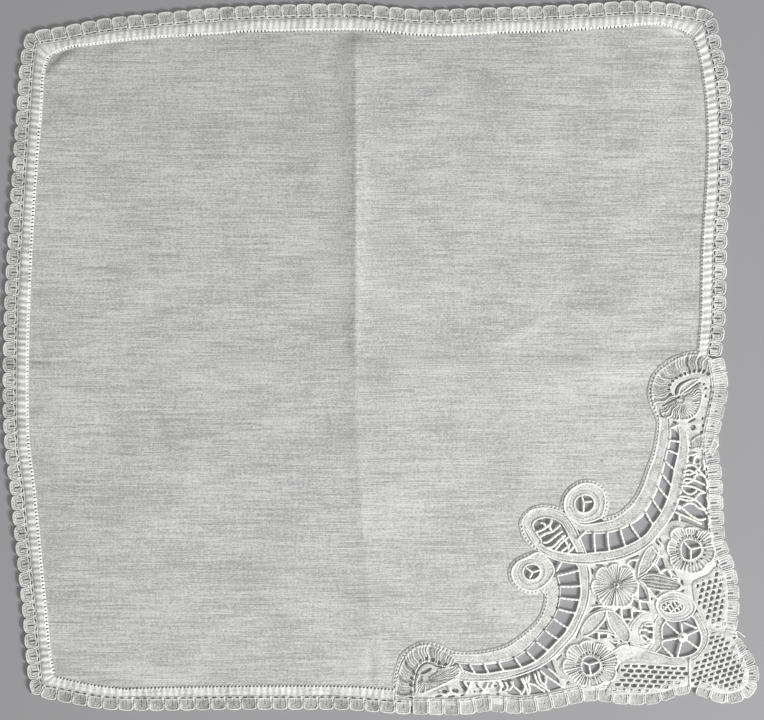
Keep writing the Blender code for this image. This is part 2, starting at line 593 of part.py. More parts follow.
SHEET_WIDTH = 258.0
HEM_INNER = HEM_WIDTH + 0.3
ACROSS = [0.0, HEM_WIDTH, HEM_INNER, 10.0, 22.0, 36.0, 50.0, 64.0, 78.0, 92.0, 104.0, 114.0,
          120.0, 124.5, 128.5, 133.0, 139.0, 149.0, 162.0, 176.0, 190.0, 204.0, 218.0, 232.0,
          246.0, SHEET_WIDTH - HEM_INNER, SHEET_WIDTH - HEM_WIDTH, SHEET_WIDTH]
UPWARD = [0.0, HEM_WIDTH, HEM_INNER, 10.0, 22.0, 36.0, 50.0, 64.0, 78.0, 92.0, 104.0, 113.0,
          118.0, 121.5, 125.0, 129.0, 134.0, 143.0, 156.0, 170.0, 184.0, 198.0, 212.0, 226.0,
          241.0, SHEET_WIDTH - HEM_INNER, SHEET_WIDTH - HEM_WIDTH, SHEET_WIDTH]

work = bmesh.new()
upper = {}
under = {}
for i, across in enumerate(ACROSS):
    for j, upward in enumerate(UPWARD):
        point = sheet_point(across / SHEET_WIDTH, upward / SHEET_WIDTH)
        clear = min(across, SHEET_WIDTH - across, upward, SHEET_WIDTH - upward)
        height = rise(point, clear)
        thick = HEM_THICK if clear < HEM_WIDTH + 0.1 else LINEN_THICK
        x, y = point * MM
        upper[i, j] = work.verts.new((x, y, (height + thick) * MM))
        under[i, j] = work.verts.new((x, y, height * MM))
for i in range(len(ACROSS) - 1):
    for j in range(len(UPWARD) - 1):
        work.faces.new((upper[i, j], upper[i + 1, j], upper[i + 1, j + 1], upper[i, j + 1]))
        work.faces.new((under[i, j], under[i, j + 1], under[i + 1, j + 1], under[i + 1, j]))
last_i, last_j = len(ACROSS) - 1, len(UPWARD) - 1
rim = ([(i, 0) for i in range(last_i)] + [(last_i, j) for j in range(last_j)]
       + [(i, last_j) for i in range(last_i, 0, -1)] + [(0, j) for j in range(last_j, 0, -1)])
for k, here in enumerate(rim):
    ahead = rim[(k + 1) % len(rim)]
    work.faces.new((under[here], under[ahead], upper[ahead], upper[here]))
bmesh.ops.triangulate(work, faces=work.faces)
bmesh.ops.recalc_face_normals(work, faces=work.faces)
linen_mesh = bpy.data.meshes.new("linen_ground")
work.to_mesh(linen_mesh)
work.free()
linen = add("linen_ground", linen_mesh, scratch)

lace_line = smooth(pairs(LACE_LINE), 2, closed=False)
corner_area = np.vstack([lace_line, pairs([(5.2, -150.0), (160.0, -150.0), (160.0, 1.2)])])
boolean(linen, plate("corner_area", corner_area, -2.0, 6.0), "DIFFERENCE")
finish(linen, LINEN_COLOUR)
lace_area = grow(corner_area, -SEAM_GAP)

# Edging: one scalloped strip sewn round the hem, from the lower side to the right side
low_run = low[(low[:, 0] < 11.4 - MIDDLE[0])][::-1]
low_run = np.vstack([[11.4 - MIDDLE[0], np.interp(11.4 - MIDDLE[0], low[:, 0], low[:, 1])],
                     low_run])
right_run = right[right[:, 1] > 2.2 - MIDDLE[1]][::-1]
right_run = np.vstack([right_run,
                       [np.interp(2.2 - MIDDLE[1], right[:, 1], right[:, 0]), 2.2 - MIDDLE[1]]])
sewing_line = np.vstack([low_run[:-1], left[:-1], top[:-1], right_run])
sewing_line = along(sewing_line, np.linspace(0.0, length_of(sewing_line), 800))
foot = sewing_line + sideways(sewing_line, 0.8) * SEAM_GAP
middle_line = sewing_line + sideways(sewing_line, 4.0) * EDGING_WIDTH
scallops = scalloped(middle_line, SCALLOP_PITCH, SCALLOP_NOTCH)
sheet_rim = np.array([sheet_point(a, b) for a, b in
                      [(x / SHEET_WIDTH, 0.0) for x in ACROSS]
                      + [(1.0, y / SHEET_WIDTH) for y in UPWARD[1:]]
                      + [(x / SHEET_WIDTH, 1.0) for x in ACROSS[-2::-1]]
                      + [(0.0, y / SHEET_WIDTH) for y in UPWARD[-2:0:-1]]])
foot_inside = sewing_line[::16] - sideways(sewing_line, 4.0)[::16] * 2.0
edging = plate("edging_braid", np.vstack([foot_inside, sewing_line[-1] - [2.0, 0.0],
                                          scallops[::-1]]), 0.0, EDGING_THICK)
boolean(edging, plate("hem_gap", grow(sheet_rim, SEAM_GAP), -2.0, 6.0), "DIFFERENCE")
finish(edging, LACE_COLOUR)

# Border of the corner: three scalloped tapes
PIECES = {}


def border_outline(points):
    line = smooth(pairs(points), 3, closed=False)
    tips = scalloped(line + -sideways(line, 3.0) * SCALLOP_NOTCH, SCALLOP_PITCH, SCALLOP_NOTCH)
    inner = line - sideways(line, 3.0) * BORDER_WIDTH
    inner = along(inner, np.linspace(0.0, length_of(inner), max(8, int(length_of(inner) / 4))))
    return np.vstack([tips, inner[::-1]])


PIECES["border_right"] = (border_outline(BORDER_RIGHT), BORDER_THICK, ())
PIECES["border_corner"] = (border_outline(BORDER_LOBE), BORDER_THICK, ())
PIECES["border_low"] = (border_outline(BORDER_LOW), BORDER_THICK, ())

# Motifs of the corner, in the order in which each gives way to the ones before it
for name, x, y, reach, petals, bearing, hole in FLOWERS:
    gaps = wedge_outlines(x, y, hole, bearing + 30.0, 0.9) if hole else ()
    PIECES[name] = (petal_outline(x, y, reach, petals, bearing), MOTIF_THICK, gaps)
for name, points in LEAVES:
    PIECES[name] = (smooth(pairs(points), 2), MOTIF_THICK, ())
for name, x, y, reach, hole in SPIRALS:
    ring = np.linspace(0.0, 2.0 * math.pi, 24, endpoint=False)
    disc = pairs([(x, y)])[0] + reach * np.column_stack([np.cos(ring), np.sin(ring)])
    PIECES[name] = (disc, MOTIF_THICK, wedge_outlines(x, y, hole, 30.0, 0.9))
PIECES["eye_ring"] = (smooth(pairs(EYE_RING), 2), TAPE_THICK, [])
PIECES["rosette_upper"] = (smooth(pairs(ROSETTE_UPPER), 2), MOTIF_THICK, ())
PIECES["rosette_lower"] = (smooth(pairs(ROSETTE_LOWER), 2), MOTIF_THICK, ())
PIECES["shell_leaf"] = (smooth(pairs(SHELL_LEAF), 2), TAPE_THICK,
                        [slot_outline(*row) for row in SHELL_SLOTS])
PIECES["scroll_upper"] = (smooth(pairs(SCROLL_UPPER), 2), TAPE_THICK,
                          [pairs(gap) for gap in LADDER_UPPER])
PIECES["scroll_lower"] = (smooth(pairs(SCROLL_LOWER), 2), TAPE_THICK,
                          [pairs(gap) for gap in LADDER_LOWER])
PIECES["web_ring"] = (smooth(pairs(WEB_RING), 2), TAPE_THICK, [smooth(pairs(WEB_HOLE), 2)])
PIECES["small_scroll"] = (smooth(pairs(SMALL_SCROLL), 2), TAPE_THICK, ())
PIECES["net_right"] = (smooth(pairs(NET_RIGHT), 1), GROUND_THICK, ())
PIECES["net_low"] = (smooth(pairs(NET_LOW), 1), GROUND_THICK, ())
PIECES["net_corner"] = (smooth(pairs(NET_CORNER), 1), GROUND_THICK, ())
PIECES["filling_right"] = (smooth(pairs(FILLING_RIGHT), 1), GROUND_THICK,
                           [slot_outline(*row) for row in FILLING_RIGHT_SLOTS])
PIECES["filling_low"] = (smooth(pairs(FILLING_LOW), 1), GROUND_THICK,
                         [slot_outline(*row) for row in FILLING_LOW_SLOTS])


def near(one, two, reach=1.0):
    """Whether two outlines' boxes come within a reach of each other."""
    return bool(np.all(one.min(axis=0) < two.max(axis=0) + reach)
                and np.all(two.min(axis=0) < one.max(axis=0) + reach))


done = []
for name, (outline, thick, gaps) in PIECES.items():
    made = plate(name, outline, 0.0, thick)
    if gaps:
        for k, gap in enumerate(gaps):
            boolean(made, plate("gap", gap, -2.0, 6.0), "DIFFERENCE")
    boolean(made, plate("lace_area", lace_area, -2.0, 6.0), "INTERSECT")
    for other in done:
        if near(outline, other):
            boolean(made, plate("room", grow(other, SEAM_GAP), -2.0, 6.0), "DIFFERENCE")
    if name == "web_ring":
        for x1, y1, x2, y2, width in WEB_LEGS:
            boolean(made, plate("leg", slot_outline(x1, y1, x2, y2, width), 0.0, 1.2), "UNION")
        hub_x, hub_y, hub_reach = WEB_HUB
        ring = np.linspace(0.0, 2.0 * math.pi, 12, endpoint=False)
        hub = pairs([(hub_x, hub_y)])[0] + hub_reach * np.column_stack(
            [np.cos(ring), np.sin(ring)])
        boolean(made, plate("hub", hub, 0.0, TAPE_THICK), "UNION")
    finish(made, LACE_COLOUR)
    done.append(outline)

# Bars that join the motifs, worked as one ground round them
ground = plate("bar_ground", pairs(BAR_GROUND), 0.0, GROUND_THICK)
for gap in BAR_GAPS:
    boolean(ground, plate("gap", pairs(gap), -2.0, 6.0), "DIFFERENCE")
for other in done:
    if near(pairs(BAR_GROUND), other):
        boolean(ground, plate("room", grow(other, SEAM_GAP), -2.0, 6.0), "DIFFERENCE")
ground.name = "bar_ground"
finish(ground, LACE_COLOUR)
bpy.context.scene.collection.children.unlink(scratch)
bpy.data.collections.remove(scratch)
cutters.hide_render = True
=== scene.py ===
import math

import bmesh
import bpy
import numpy as np
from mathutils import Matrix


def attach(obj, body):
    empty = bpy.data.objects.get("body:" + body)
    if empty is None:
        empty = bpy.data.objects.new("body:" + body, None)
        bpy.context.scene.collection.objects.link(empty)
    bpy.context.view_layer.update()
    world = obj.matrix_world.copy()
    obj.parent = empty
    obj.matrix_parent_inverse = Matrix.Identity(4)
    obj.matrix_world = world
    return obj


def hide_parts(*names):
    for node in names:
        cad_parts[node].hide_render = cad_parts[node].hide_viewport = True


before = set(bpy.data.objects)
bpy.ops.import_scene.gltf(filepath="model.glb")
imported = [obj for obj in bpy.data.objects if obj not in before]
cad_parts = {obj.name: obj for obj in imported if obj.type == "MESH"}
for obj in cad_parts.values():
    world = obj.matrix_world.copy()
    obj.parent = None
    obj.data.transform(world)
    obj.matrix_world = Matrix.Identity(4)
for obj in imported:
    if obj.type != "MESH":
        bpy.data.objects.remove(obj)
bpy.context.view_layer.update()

# Camera, floor and light. The handkerchief lies flat and is seen from straight above with a long
# lens. A large soft panel hangs overhead and a weaker one stands low to the right, so that the
# folds and threads show.
VIEW_WIDTH = 0.2903
LENS = 120.0
SENSOR_WIDTH = 36.0
FLOOR_DROP = 0.00003
eye = bpy.data.cameras.new("camera")
eye.lens = LENS
eye.sensor_width = SENSOR_WIDTH
camera = bpy.data.objects.new("camera", eye)
camera.location = (0.0004, -0.0007, VIEW_WIDTH * LENS / SENSOR_WIDTH + 0.0008)
bpy.context.scene.collection.objects.link(camera)
bpy.context.scene.camera = camera
bpy.context.scene.view_settings.view_transform = "Standard"


def light_panel(name, place, size, watts):
    """Square soft light that faces the middle of the cloth."""
    x, y, z = place
    lamp = bpy.data.lights.new(name, "AREA")
    lamp.shape = "SQUARE"
    lamp.size = size
    lamp.energy = watts
    panel = bpy.data.objects.new(name, lamp)
    panel.location = place
    panel.rotation_euler = (math.atan2(math.hypot(x, y), z), 0.0, math.atan2(x, -y))
    bpy.context.scene.collection.objects.link(panel)


light_panel("panel_over", (-0.25, 0.30, 1.5), 0.9, 5.5)
light_panel("panel_low", (1.05, -0.80, 0.55), 0.35, 29.0)
sky = bpy.data.worlds.new("studio")
sky.use_nodes = True
sky.node_tree.nodes["Background"].inputs["Color"].default_value = (1.0, 1.0, 1.0, 1.0)
sky.node_tree.nodes["Background"].inputs["Strength"].default_value = 0.24
bpy.context.scene.world = sky

floor_work = bmesh.new()
bmesh.ops.create_grid(floor_work, x_segments=1, y_segments=1, size=3.0)
bmesh.ops.translate(floor_work, verts=floor_work.verts, vec=(0.0, 0.0, -FLOOR_DROP))
floor_mesh = bpy.data.meshes.new("floor")
floor_work.to_mesh(floor_mesh)
floor_work.free()
floor = bpy.data.objects.new("floor", floor_mesh)
bpy.context.scene.collection.objects.link(floor)
floor_paint = bpy.data.materials.new("floor_paint")
floor_paint.use_nodes = True
floor_shader = floor_paint.node_tree.nodes["Principled BSDF"]
floor_shader.inputs["Base Color"].default_value = (0.33, 0.33, 0.338, 1.0)
floor_shader.inputs["Roughness"].default_value = 0.9
floor_mesh.materials.append(floor_paint)

# Linen ground. A square of fine plain-woven lawn with slubs along the weft. It was folded in four,
# so a ridge runs down its middle and a fainter one across.
MM = 0.001
PER_MM = 1000.0
TURN = 2.0 * math.pi
# Lengths are millimetres from the middle of the photographed outline, and SHIFT puts them in the
# frame's place. The cloth rests at SHEET_BASE and nowhere lies under SHEET_LOW.
SHIFT = (0.0, -0.5)
SHEET_BASE = 0.35
SHEET_LOW = 0.32
LEAST_HEIGHT = 0.02
PIN_LEFT = [
    (-124.3, -120.4), (-126.2, -110), (-127.5, -97), (-132, -50), (-134.3, -30), (-134.6, 0),
    (-133.2, 40), (-130.9, 75), (-129.2, 95), (-128.7, 105), (-127.6, 111), (-125.2, 114.8)]
PIN_TOP = [
    (-125.2, 114.8), (-121.8, 117.2), (-116.6, 119), (-110, 119.9), (-100, 121.2), (-90, 122.3),
    (-80, 123), (-70, 123.6), (-60, 124.2), (-50, 125), (-40, 125.2), (-25, 125.4), (-10, 125.6),
    (0, 125), (10, 124), (20, 123.5), (30, 123.6), (45, 124.5), (60, 125), (70, 125.5),
    (80, 126.2), (90, 126.8), (98, 127.7), (103, 127.9), (108, 127.3), (113, 125.6),
    (118.2, 122.4)]
PIN_RIGHT = [
    (120.2, -125.6), (120.5, -60), (120.7, -20), (120.9, -6), (121, 2), (121.6, 10), (122.1, 20),
    (122.2, 30), (122.4, 40), (122.9, 50), (123.6, 60), (124.2, 70), (124.5, 80), (124.4, 90),
    (123.6, 100), (122.2, 110), (120.6, 117.5), (118.2, 122.4)]
PIN_LOW = [
    (-124.3, -120.4), (-120, -121.8), (-113, -123.5), (-105, -124.8), (-98, -125.6), (-90, -125.5),
    (-80, -125.1), (-60, -124.8), (-40, -124.6), (-25, -124.6), (-10, -124.9), (-5, -125.2),
    (0, -125.6), (5.2, -125.8), (11, -125.8), (20, -125.7), (40, -125.6), (80, -125.6),
    (120.2, -125.6)]
LACE_LINE = [
    (124.6, 1.2), (120, 2.5), (115, 1.5), (110, -0.5), (106, -3.5), (103.5, -7), (102.3, -11.5),
    (102.8, -16), (104.5, -20), (105.7, -24), (105, -30), (103.8, -36), (101.5, -42), (99, -49),
    (96, -54), (92, -58), (87.5, -60.2), (84.3, -60), (85.3, -57), (85.6, -53), (84.5, -49.5),
    (81.5, -47.2), (78, -46.5), (74, -47.8), (70.7, -50.8), (69.2, -54.5), (68.5, -57),
    (65, -56.3), (60, -56.2), (56, -58), (53.5, -61.5), (53.8, -65), (55.5, -68.5), (58, -71),
    (59.8, -73), (56, -74.5), (52, -76.5), (49.5, -79.5), (49.5, -83), (51.5, -86), (55, -88),
    (58.5, -88.2), (61.9, -86.8), (63, -89.5), (62.5, -94), (60.5, -98.5), (57, -102.5),
    (52, -106.5), (47, -109.5), (40, -111.3), (33, -112), (27.5, -111.6), (24, -110), (20, -108.5),
    (15, -108.3), (11, -110.3), (8, -113), (6.3, -117), (5.3, -121), (5.2, -129.6)]


def smooth(points, steps=4, closed=False):
    """Rounded line through the points."""
    p = np.array(points, dtype=float)
    count = len(p)
    t = (np.arange(steps) / steps)[:, None]
    out = []
    for i in range(count if closed else count - 1):
        if closed:
            a, b, c, d = p[i - 1], p[i], p[(i + 1) % count], p[(i + 2) % count]
        else:
            a, b, c, d = p[max(i - 1, 0)], p[i], p[i + 1], p[min(i + 2, count - 1)]
        out.append(0.5 * (2 * b + (c - a) * t + (2 * a - 5 * b + 4 * c - d) * t ** 2
                          + (3 * b - a - 3 * c + d) * t ** 3))
    if not closed:
        out.append(p[-1:])
    return np.vstack(out)


def run_of(line):
    """Distance along a line at each of its points."""
    return np.concatenate([[0.0], np.cumsum(np.hypot(*np.diff(line, axis=0).T))])


def resample(line, count):
    """The line at count + 1 even steps."""
    run = run_of(line)
    at = np.linspace(0.0, run[-1], count + 1)
    return np.column_stack([np.interp(at, run, line[:, 0]), np.interp(at, run, line[:, 1])])


def sideways(line, window):
    """Unit vector to the left of the line, read across a window of its length."""
    run = run_of(line)
    def at(s):
        s = np.clip(s, 0.0, run[-1])
        return np.column_stack([np.interp(s, run, line[:, 0]), np.interp(s, run, line[:, 1])])
    way = at(run + window) - at(run - window)
    way /= np.hypot(*way.T)[:, None]
    return np.column_stack([-way[:, 1], way[:, 0]])


def inside(outline, x, y):
    """Whether points lie in a closed outline."""
    hit = np.zeros(np.shape(x), dtype=bool)
    for (x1, y1), (x2, y2) in zip(outline, np.roll(outline, -1, axis=0)):
        if y1 == y2:
            continue
        hit ^= ((y1 > y) != (y2 > y)) & (x < (x2 - x1) * (y - y1) / (y2 - y1) + x1)
    return hit


def patch(low, top, left, right, u, v):
    """Sheet laid between four lines that meet at its corners, at even shares u and v."""
    def at(line, share):
        run = run_of(line)
        s = share * run[-1]
        return np.stack([np.interp(s, run, line[:, 0]), np.interp(s, run, line[:, 1])], axis=-1)
    u3, v3 = u[..., None], v[..., None]
    return ((1 - v3) * at(low, u) + v3 * at(top, u) + (1 - u3) * at(left, v)
            + u3 * at(right, v) - (1 - u3) * (1 - v3) * low[0] - u3 * (1 - v3) * low[-1]
            - (1 - u3) * v3 * top[0] - u3 * v3 * top[-1])


FOLD_RISE = 1.25
CLOUDS = np.random.default_rng(7)
CLOUD_WAVES = [(CLOUDS.uniform(-0.16, 0.16), CLOUDS.uniform(-0.3, 0.3), CLOUDS.uniform(0, 6.28),
                CLOUDS.uniform(0.02, 0.07)) for _ in range(26)]
# Short hollows and puckers near the hems: x, y, half length, half width, bearing, depth
PUCKERS = [
    (-103, 119.5, 5, 1.8, 20, -0.6), (-92, 120.5, 5, 1.6, 35, -0.6), (-40, 123, 9, 1.4, -5, -0.5),
    (-12, 122.5, 6, 2, 0, -0.7), (-131, -1, 3, 1, 0, -0.7), (-131, 68, 5, 1.8, -40, -0.5),
    (-131.5, 100, 2, 4, 0, -0.5), (119, 54, 4, 1.6, 0, -0.6), (121, 24, 4, 2.2, 10, -0.9),
    (75, 24, 14, 3.5, 18, -0.5), (85, 24, 8, 3, 0, -0.6), (55, 12, 10, 2.2, 25, 0.4),
    (60, 37, 16, 3, 8, 0.3), (118, 80, 5, 1.5, -8, -0.4), (118, 92, 5, 1.5, 10, -0.4),
    (100, 108, 10, 4, -35, 0.5), (112, 112, 6, 3, -40, 0.5), (-20, 112, 5, 16, 10, -0.5),
    (106, 12, 12, 1.6, 0, 0.3), (108, 2.5, 12, 1.2, -3, -0.4), (-4, -119, 2, 8, 0, -0.4),
    (-104, -124, 7, 3, 0, 0.5), (-118, -118, 5, 4, 30, 0.4), (-129, -22, 3, 4, 0, 0.5),
    (96, 86, 12, 3, 12, -0.4), (70, 60, 20, 4, -4, -0.3)]


def lift(x, y):
    """Height of the sheet over the table, from its folds, puckers and slack."""
    share = np.clip((y + 125.0) / 250.0, 0.0, 1.0)
    fold_x = -9.6 + 7.6 * np.clip((-12.0 - y) / 108.0, 0.0, 1.0) ** 1.4
    side = x - fold_x
    upper = np.clip((y + 6.0) / 14.0, 0.0, 1.0)
    strong = 0.34 + 0.66 * upper
    far = np.abs(side)
    left = 0.40 * np.exp(-far / 2.6) + 0.75 * np.exp(-far / (12.0 + 10.0 * share * upper))
    right = 0.75 * np.exp(-far / 7.0) + 0.40 * np.exp(-far / 20.0)
    out = FOLD_RISE * strong * np.where(side < 0.0, left, right)
    across = y + 3.2
    spread = np.clip((108.0 - x) / 30.0, 0.0, 1.0) * np.clip((x + 12.0) / 14.0, 0.0, 1.0)
    weak = np.clip((x + 100.0) / 60.0, 0.0, 1.0) * np.clip((4.0 - x) / 14.0, 0.0, 1.0)
    out = out + (0.55 * spread + 0.22 * weak) * np.exp(-np.abs(across) / 9.0)
    for kx, ky, phase, height in CLOUD_WAVES:
        out = out + height * np.sin(kx * x + ky * y + phase)
    for px, py, long, wide, bearing, depth in PUCKERS:
        c, s = math.cos(math.radians(bearing)), math.sin(math.radians(bearing))
        along, over = (x - px) * c + (y - py) * s, -(x - px) * s + (y - py) * c
        out = out + depth * 0.95 * np.exp(-(along / long) ** 2 - (over / wide) ** 2)
    return out + SHEET_BASE


def near_hem(clear):
    """Share of the folds left at a distance inside the hem."""
    return np.clip((clear + 3.0) / 14.0, 0.12, 1.0)


def settled(x, y, clear):
    """Height of the cloth where its folds are held down near the hem, never under its floor."""
    return np.maximum(SHEET_BASE + (lift(x, y) - SHEET_BASE) * near_hem(clear), SHEET_LOW)


def make_piece(name, work, material, node, thick=0.0):
    """Puts a finished mesh in the scene, on the root body, with its material, and hides the part
    it stands for.
    """
    if not thick:
        for vert in work.verts:
            vert.co.z = max(vert.co.z, LEAST_HEIGHT * MM)
    mesh = bpy.data.meshes.new(name)
    work.to_mesh(mesh)
    work.free()
    mesh.materials.append(material)
    mesh.polygons.foreach_set("use_smooth", [True] * len(mesh.polygons))
    piece = bpy.data.objects.new(name, mesh)
    bpy.context.scene.collection.objects.link(piece)
    if thick:
        shell = piece.modifiers.new("thickness", "SOLIDIFY")
        shell.thickness = thick * MM
        shell.offset = -1.0
    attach(piece, "root")
    if node:
        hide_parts(node)
    return piece


def mixed(nodes, links, share, one, other, kind="MIX"):
    mix = nodes.new("ShaderNodeMix")
    mix.data_type = "RGBA"
    mix.blend_type = kind
    for socket, value in ((mix.inputs[0], share), (mix.inputs[6], one), (mix.inputs[7], other)):
        if isinstance(value, bpy.types.NodeSocket):
            links.new(value, socket)
        else:
            socket.default_value = value
    return mix.outputs[2]


def ranged(nodes, links, value, low, high, to_low, to_high):
    step = nodes.new("ShaderNodeMapRange")
    links.new(value, step.inputs["Value"])
    for key, number in (("From Min", low), ("From Max", high), ("To Min", to_low),
                        ("To Max", to_high)):
        step.inputs[key].default_value = number
    return step.outputs["Result"]


def noise(nodes, links, coords, scale, detail, stretch=(1.0, 1.0, 1.0), turn=0.0):
    place = nodes.new("ShaderNodeMapping")
    place.inputs["Scale"].default_value = stretch
    place.inputs["Rotation"].default_value = (0.0, 0.0, turn)
    links.new(coords, place.inputs["Vector"])
    grain = nodes.new("ShaderNodeTexNoise")
    grain.inputs["Scale"].default_value = scale
    grain.inputs["Detail"].default_value = detail
    grain.inputs["Roughness"].default_value = 0.55
    links.new(place.outputs["Vector"], grain.inputs["Vector"])
    return grain.outputs["Fac"]


def bumped(nodes, links, height, depth, strength, before=None):
    bump = nodes.new("ShaderNodeBump")
    bump.inputs["Distance"].default_value = depth
    bump.inputs["Strength"].default_value = strength
    links.new(height, bump.inputs["Height"])
    if before is not None:
        links.new(before, bump.inputs["Normal"])
    return bump.outputs["Normal"]


# Painted shade and highlights on the linen, along its folds and creases, under its tucked corners
# and beside its puckers, with two small stains: x, y, half length, half width, bearing, share of
# light
LINEN_SHADE_AND_STAINS = [
    (-60, 104, 90, 34, 0, -0.07), (40, 112, 80, 24, 0, -0.04), (83, 25, 18, 6, 15, -0.1),
    (78, 90, 20, 10, 0, -0.07), (30, 115, 20, 6, 0, -0.08), (-22, 110, 16, 12, 0, -0.08),
    (95, 116, 12, 7, 0, -0.08), (-12, 13, 4, 2, 55, -0.2), (-12, 5, 4, 2.6, 60, -0.24),
    (-10.4, 16, 3.6, 1, 60, -0.2), (-13, 66, 62, 6, 90, -0.08), (-10.5, 66, 62, 1.2, 90, -0.08),
    (-7.4, 50, 54, 4.6, 90, 0.07), (-8.8, 66, 60, 1, 90, 0.06), (-8, -12, 12, 5, 90, 0.11),
    (-6.2, -56, 46, 2.4, 93, 0.05), (-1.6, -110, 16, 2.2, 91, -0.06),
    (-10.4, -56, 46, 3, 93, -0.04), (-4.4, -110, 16, 2.2, 91, 0.05), (40, -3, 60, 2.4, 0, 0.06),
    (40, 0.6, 60, 2.6, 0, -0.06), (97, 103, 14, 9, 20, 0.06), (60, 12, 22, 8, 10, 0.06),
    (83, -5, 24, 5, 0, 0.08), (15, -54, 34, 12, 0, 0.05), (-100, -118, 18, 7, 0, 0.06),
    (-96, 20, 30, 40, 0, 0.03), (-55, -60, 46, 30, 0, 0.04), (-130, 62, 7, 1.6, -8, -0.2),
    (-130.5, 25, 6, 1.4, 0, -0.16), (-130.6, -1, 7, 1, -4, -0.45), (-131, -18, 6, 1.4, 5, -0.2),
    (-130.6, -25, 5, 5, 0, 0.12), (-129, 90, 6, 2.2, 12, -0.16), (-122.6, 114, 8, 2.2, 42, -0.5),
    (-118, 117, 6, 1.6, 20, -0.3), (-126.4, 110, 4, 1.6, 60, -0.3),
    (-119.6, 111.7, 3, 0.7, 6, 0.3), (-100, 119, 7, 2, 12, -0.24), (-89, 120.4, 6, 1.8, 8, -0.2),
    (-41, 122.6, 11, 2, 6, -0.18), (-10, 122.4, 8, 2.6, 0, -0.2), (28, 122, 9, 1.8, 0, -0.1),
    (111, 125, 7.6, 2.2, -19, 0.5), (117.5, 54.6, 7, 1.3, 2, -0.3), (119, 24, 6, 2.2, 10, -0.22),
    (114, 17, 8, 4, 0, 0.12), (117, 82, 7, 1.8, -10, -0.14), (116, 95, 8, 2, 14, -0.14),
    (106, 3, 14, 1.6, 2, -0.16), (83.8, -38.5, 0.7, 0.6, 0, -0.8), (43, -95, 0.8, 0.6, 0, -0.8),
    (-21.6, 75, 2.6, 0.5, 88, 0.12), (-60, -116, 30, 4, 2, -0.05), (70, 60, 26, 6, -4, -0.05)]


def mark(nodes, links, coords, x, y, long, wide, bearing):
    """Soft spot at a place: one in its middle, nothing outside."""
    place = nodes.new("ShaderNodeMapping")
    place.vector_type = "TEXTURE"
    place.inputs["Location"].default_value = ((x + SHIFT[0]) * MM, (y + SHIFT[1]) * MM, 0.0)
    place.inputs["Rotation"].default_value = (0.0, 0.0, math.radians(bearing))
    place.inputs["Scale"].default_value = (1.5 * long * MM, 1.5 * wide * MM, 1.0)
    links.new(coords, place.inputs["Vector"])
    spot = nodes.new("ShaderNodeTexGradient")
    spot.gradient_type = "QUADRATIC_SPHERE"
    links.new(place.outputs["Vector"], spot.inputs["Vector"])
    return spot.outputs["Fac"]


def linen_material(name, dark, pale, weave_depth):
    """Fine lawn: uneven weft slubs, finer warp, faint cloudy tone."""
    skin = bpy.data.materials.new(name)
    skin.use_nodes = True
    nodes, links = skin.node_tree.nodes, skin.node_tree.links
    shader = nodes["Principled BSDF"]
    shader.inputs["Roughness"].default_value = 0.85
    shader.inputs["Sheen Weight"].default_value = 0.12
    shader.inputs["Specular IOR Level"].default_value = 0.25
    coords = nodes.new("ShaderNodeTexCoord").outputs["Object"]
    weft = noise(nodes, links, coords, PER_MM, 2.0, (0.075, 2.3, 1.0))
    warp = noise(nodes, links, coords, PER_MM, 2.0, (2.4, 0.2, 1.0))
    grain = noise(nodes, links, coords, PER_MM, 2.0, (1.3, 2.5, 1.0))
    slub = noise(nodes, links, coords, PER_MM, 3.0, (0.06, 1.2, 1.0))
    cloud = noise(nodes, links, coords, PER_MM, 4.0, (0.035, 0.06, 1.0))
    threads = mixed(nodes, links, 0.30, weft, warp)
    threads = mixed(nodes, links, 0.50, threads, grain)
    tone = mixed(nodes, links, 0.10, threads, slub)
    tone = mixed(nodes, links, 0.16, tone, cloud)
    share = ranged(nodes, links, tone, 0.43, 0.57, 0.0, 1.0)
    colour = mixed(nodes, links, share, dark, pale)
    thick = noise(nodes, links, coords, PER_MM, 1.0, (0.04, 2.8, 1.0))
    colour = mixed(nodes, links, ranged(nodes, links, thick, 0.64, 0.77, 0.0, 0.8), colour,
                   (0.76, 0.76, 0.74, 1.0))
    thin = noise(nodes, links, coords, PER_MM, 1.0, (0.05, 2.6, 1.0), 0.012)
    colour = mixed(nodes, links, ranged(nodes, links, thin, 0.36, 0.23, 0.0, 0.7), colour,
                   (0.30, 0.30, 0.29, 1.0))
    hue = noise(nodes, links, coords, PER_MM, 2.0, (0.7, 1.2, 1.0))
    tint = mixed(nodes, links, ranged(nodes, links, hue, 0.35, 0.65, 0.0, 1.0),
                 (1.0, 0.985, 0.965, 1.0), (0.975, 0.992, 1.0, 1.0))
    colour = mixed(nodes, links, 1.0, colour, tint, "MULTIPLY")
    light = None
    # Painted shade and highlights of the folds, tucks and puckers, and two small stains, scale the
    # colour.
    for x, y, long, wide, bearing, amount in LINEN_SHADE_AND_STAINS:
        add = nodes.new("ShaderNodeMath")
        add.operation = "MULTIPLY_ADD"
        links.new(mark(nodes, links, coords, x, y, long, wide, bearing), add.inputs[0])
        add.inputs[1].default_value = amount
        add.inputs[2].default_value = 1.0
        if light is not None:
            links.new(light, add.inputs[2])
        light = add.outputs["Value"]
    toned = nodes.new("ShaderNodeVectorMath")
    toned.operation = "SCALE"
    links.new(colour, toned.inputs[0])
    links.new(light, toned.inputs["Scale"])
    colour = toned.outputs["Vector"]
    links.new(colour, shader.inputs["Base Color"])
    normal = bumped(nodes, links, threads, weave_depth, 0.7)
    normal = bumped(nodes, links, slub, 0.00035, 0.5, normal)
    links.new(normal, shader.inputs["Normal"])
    return skin


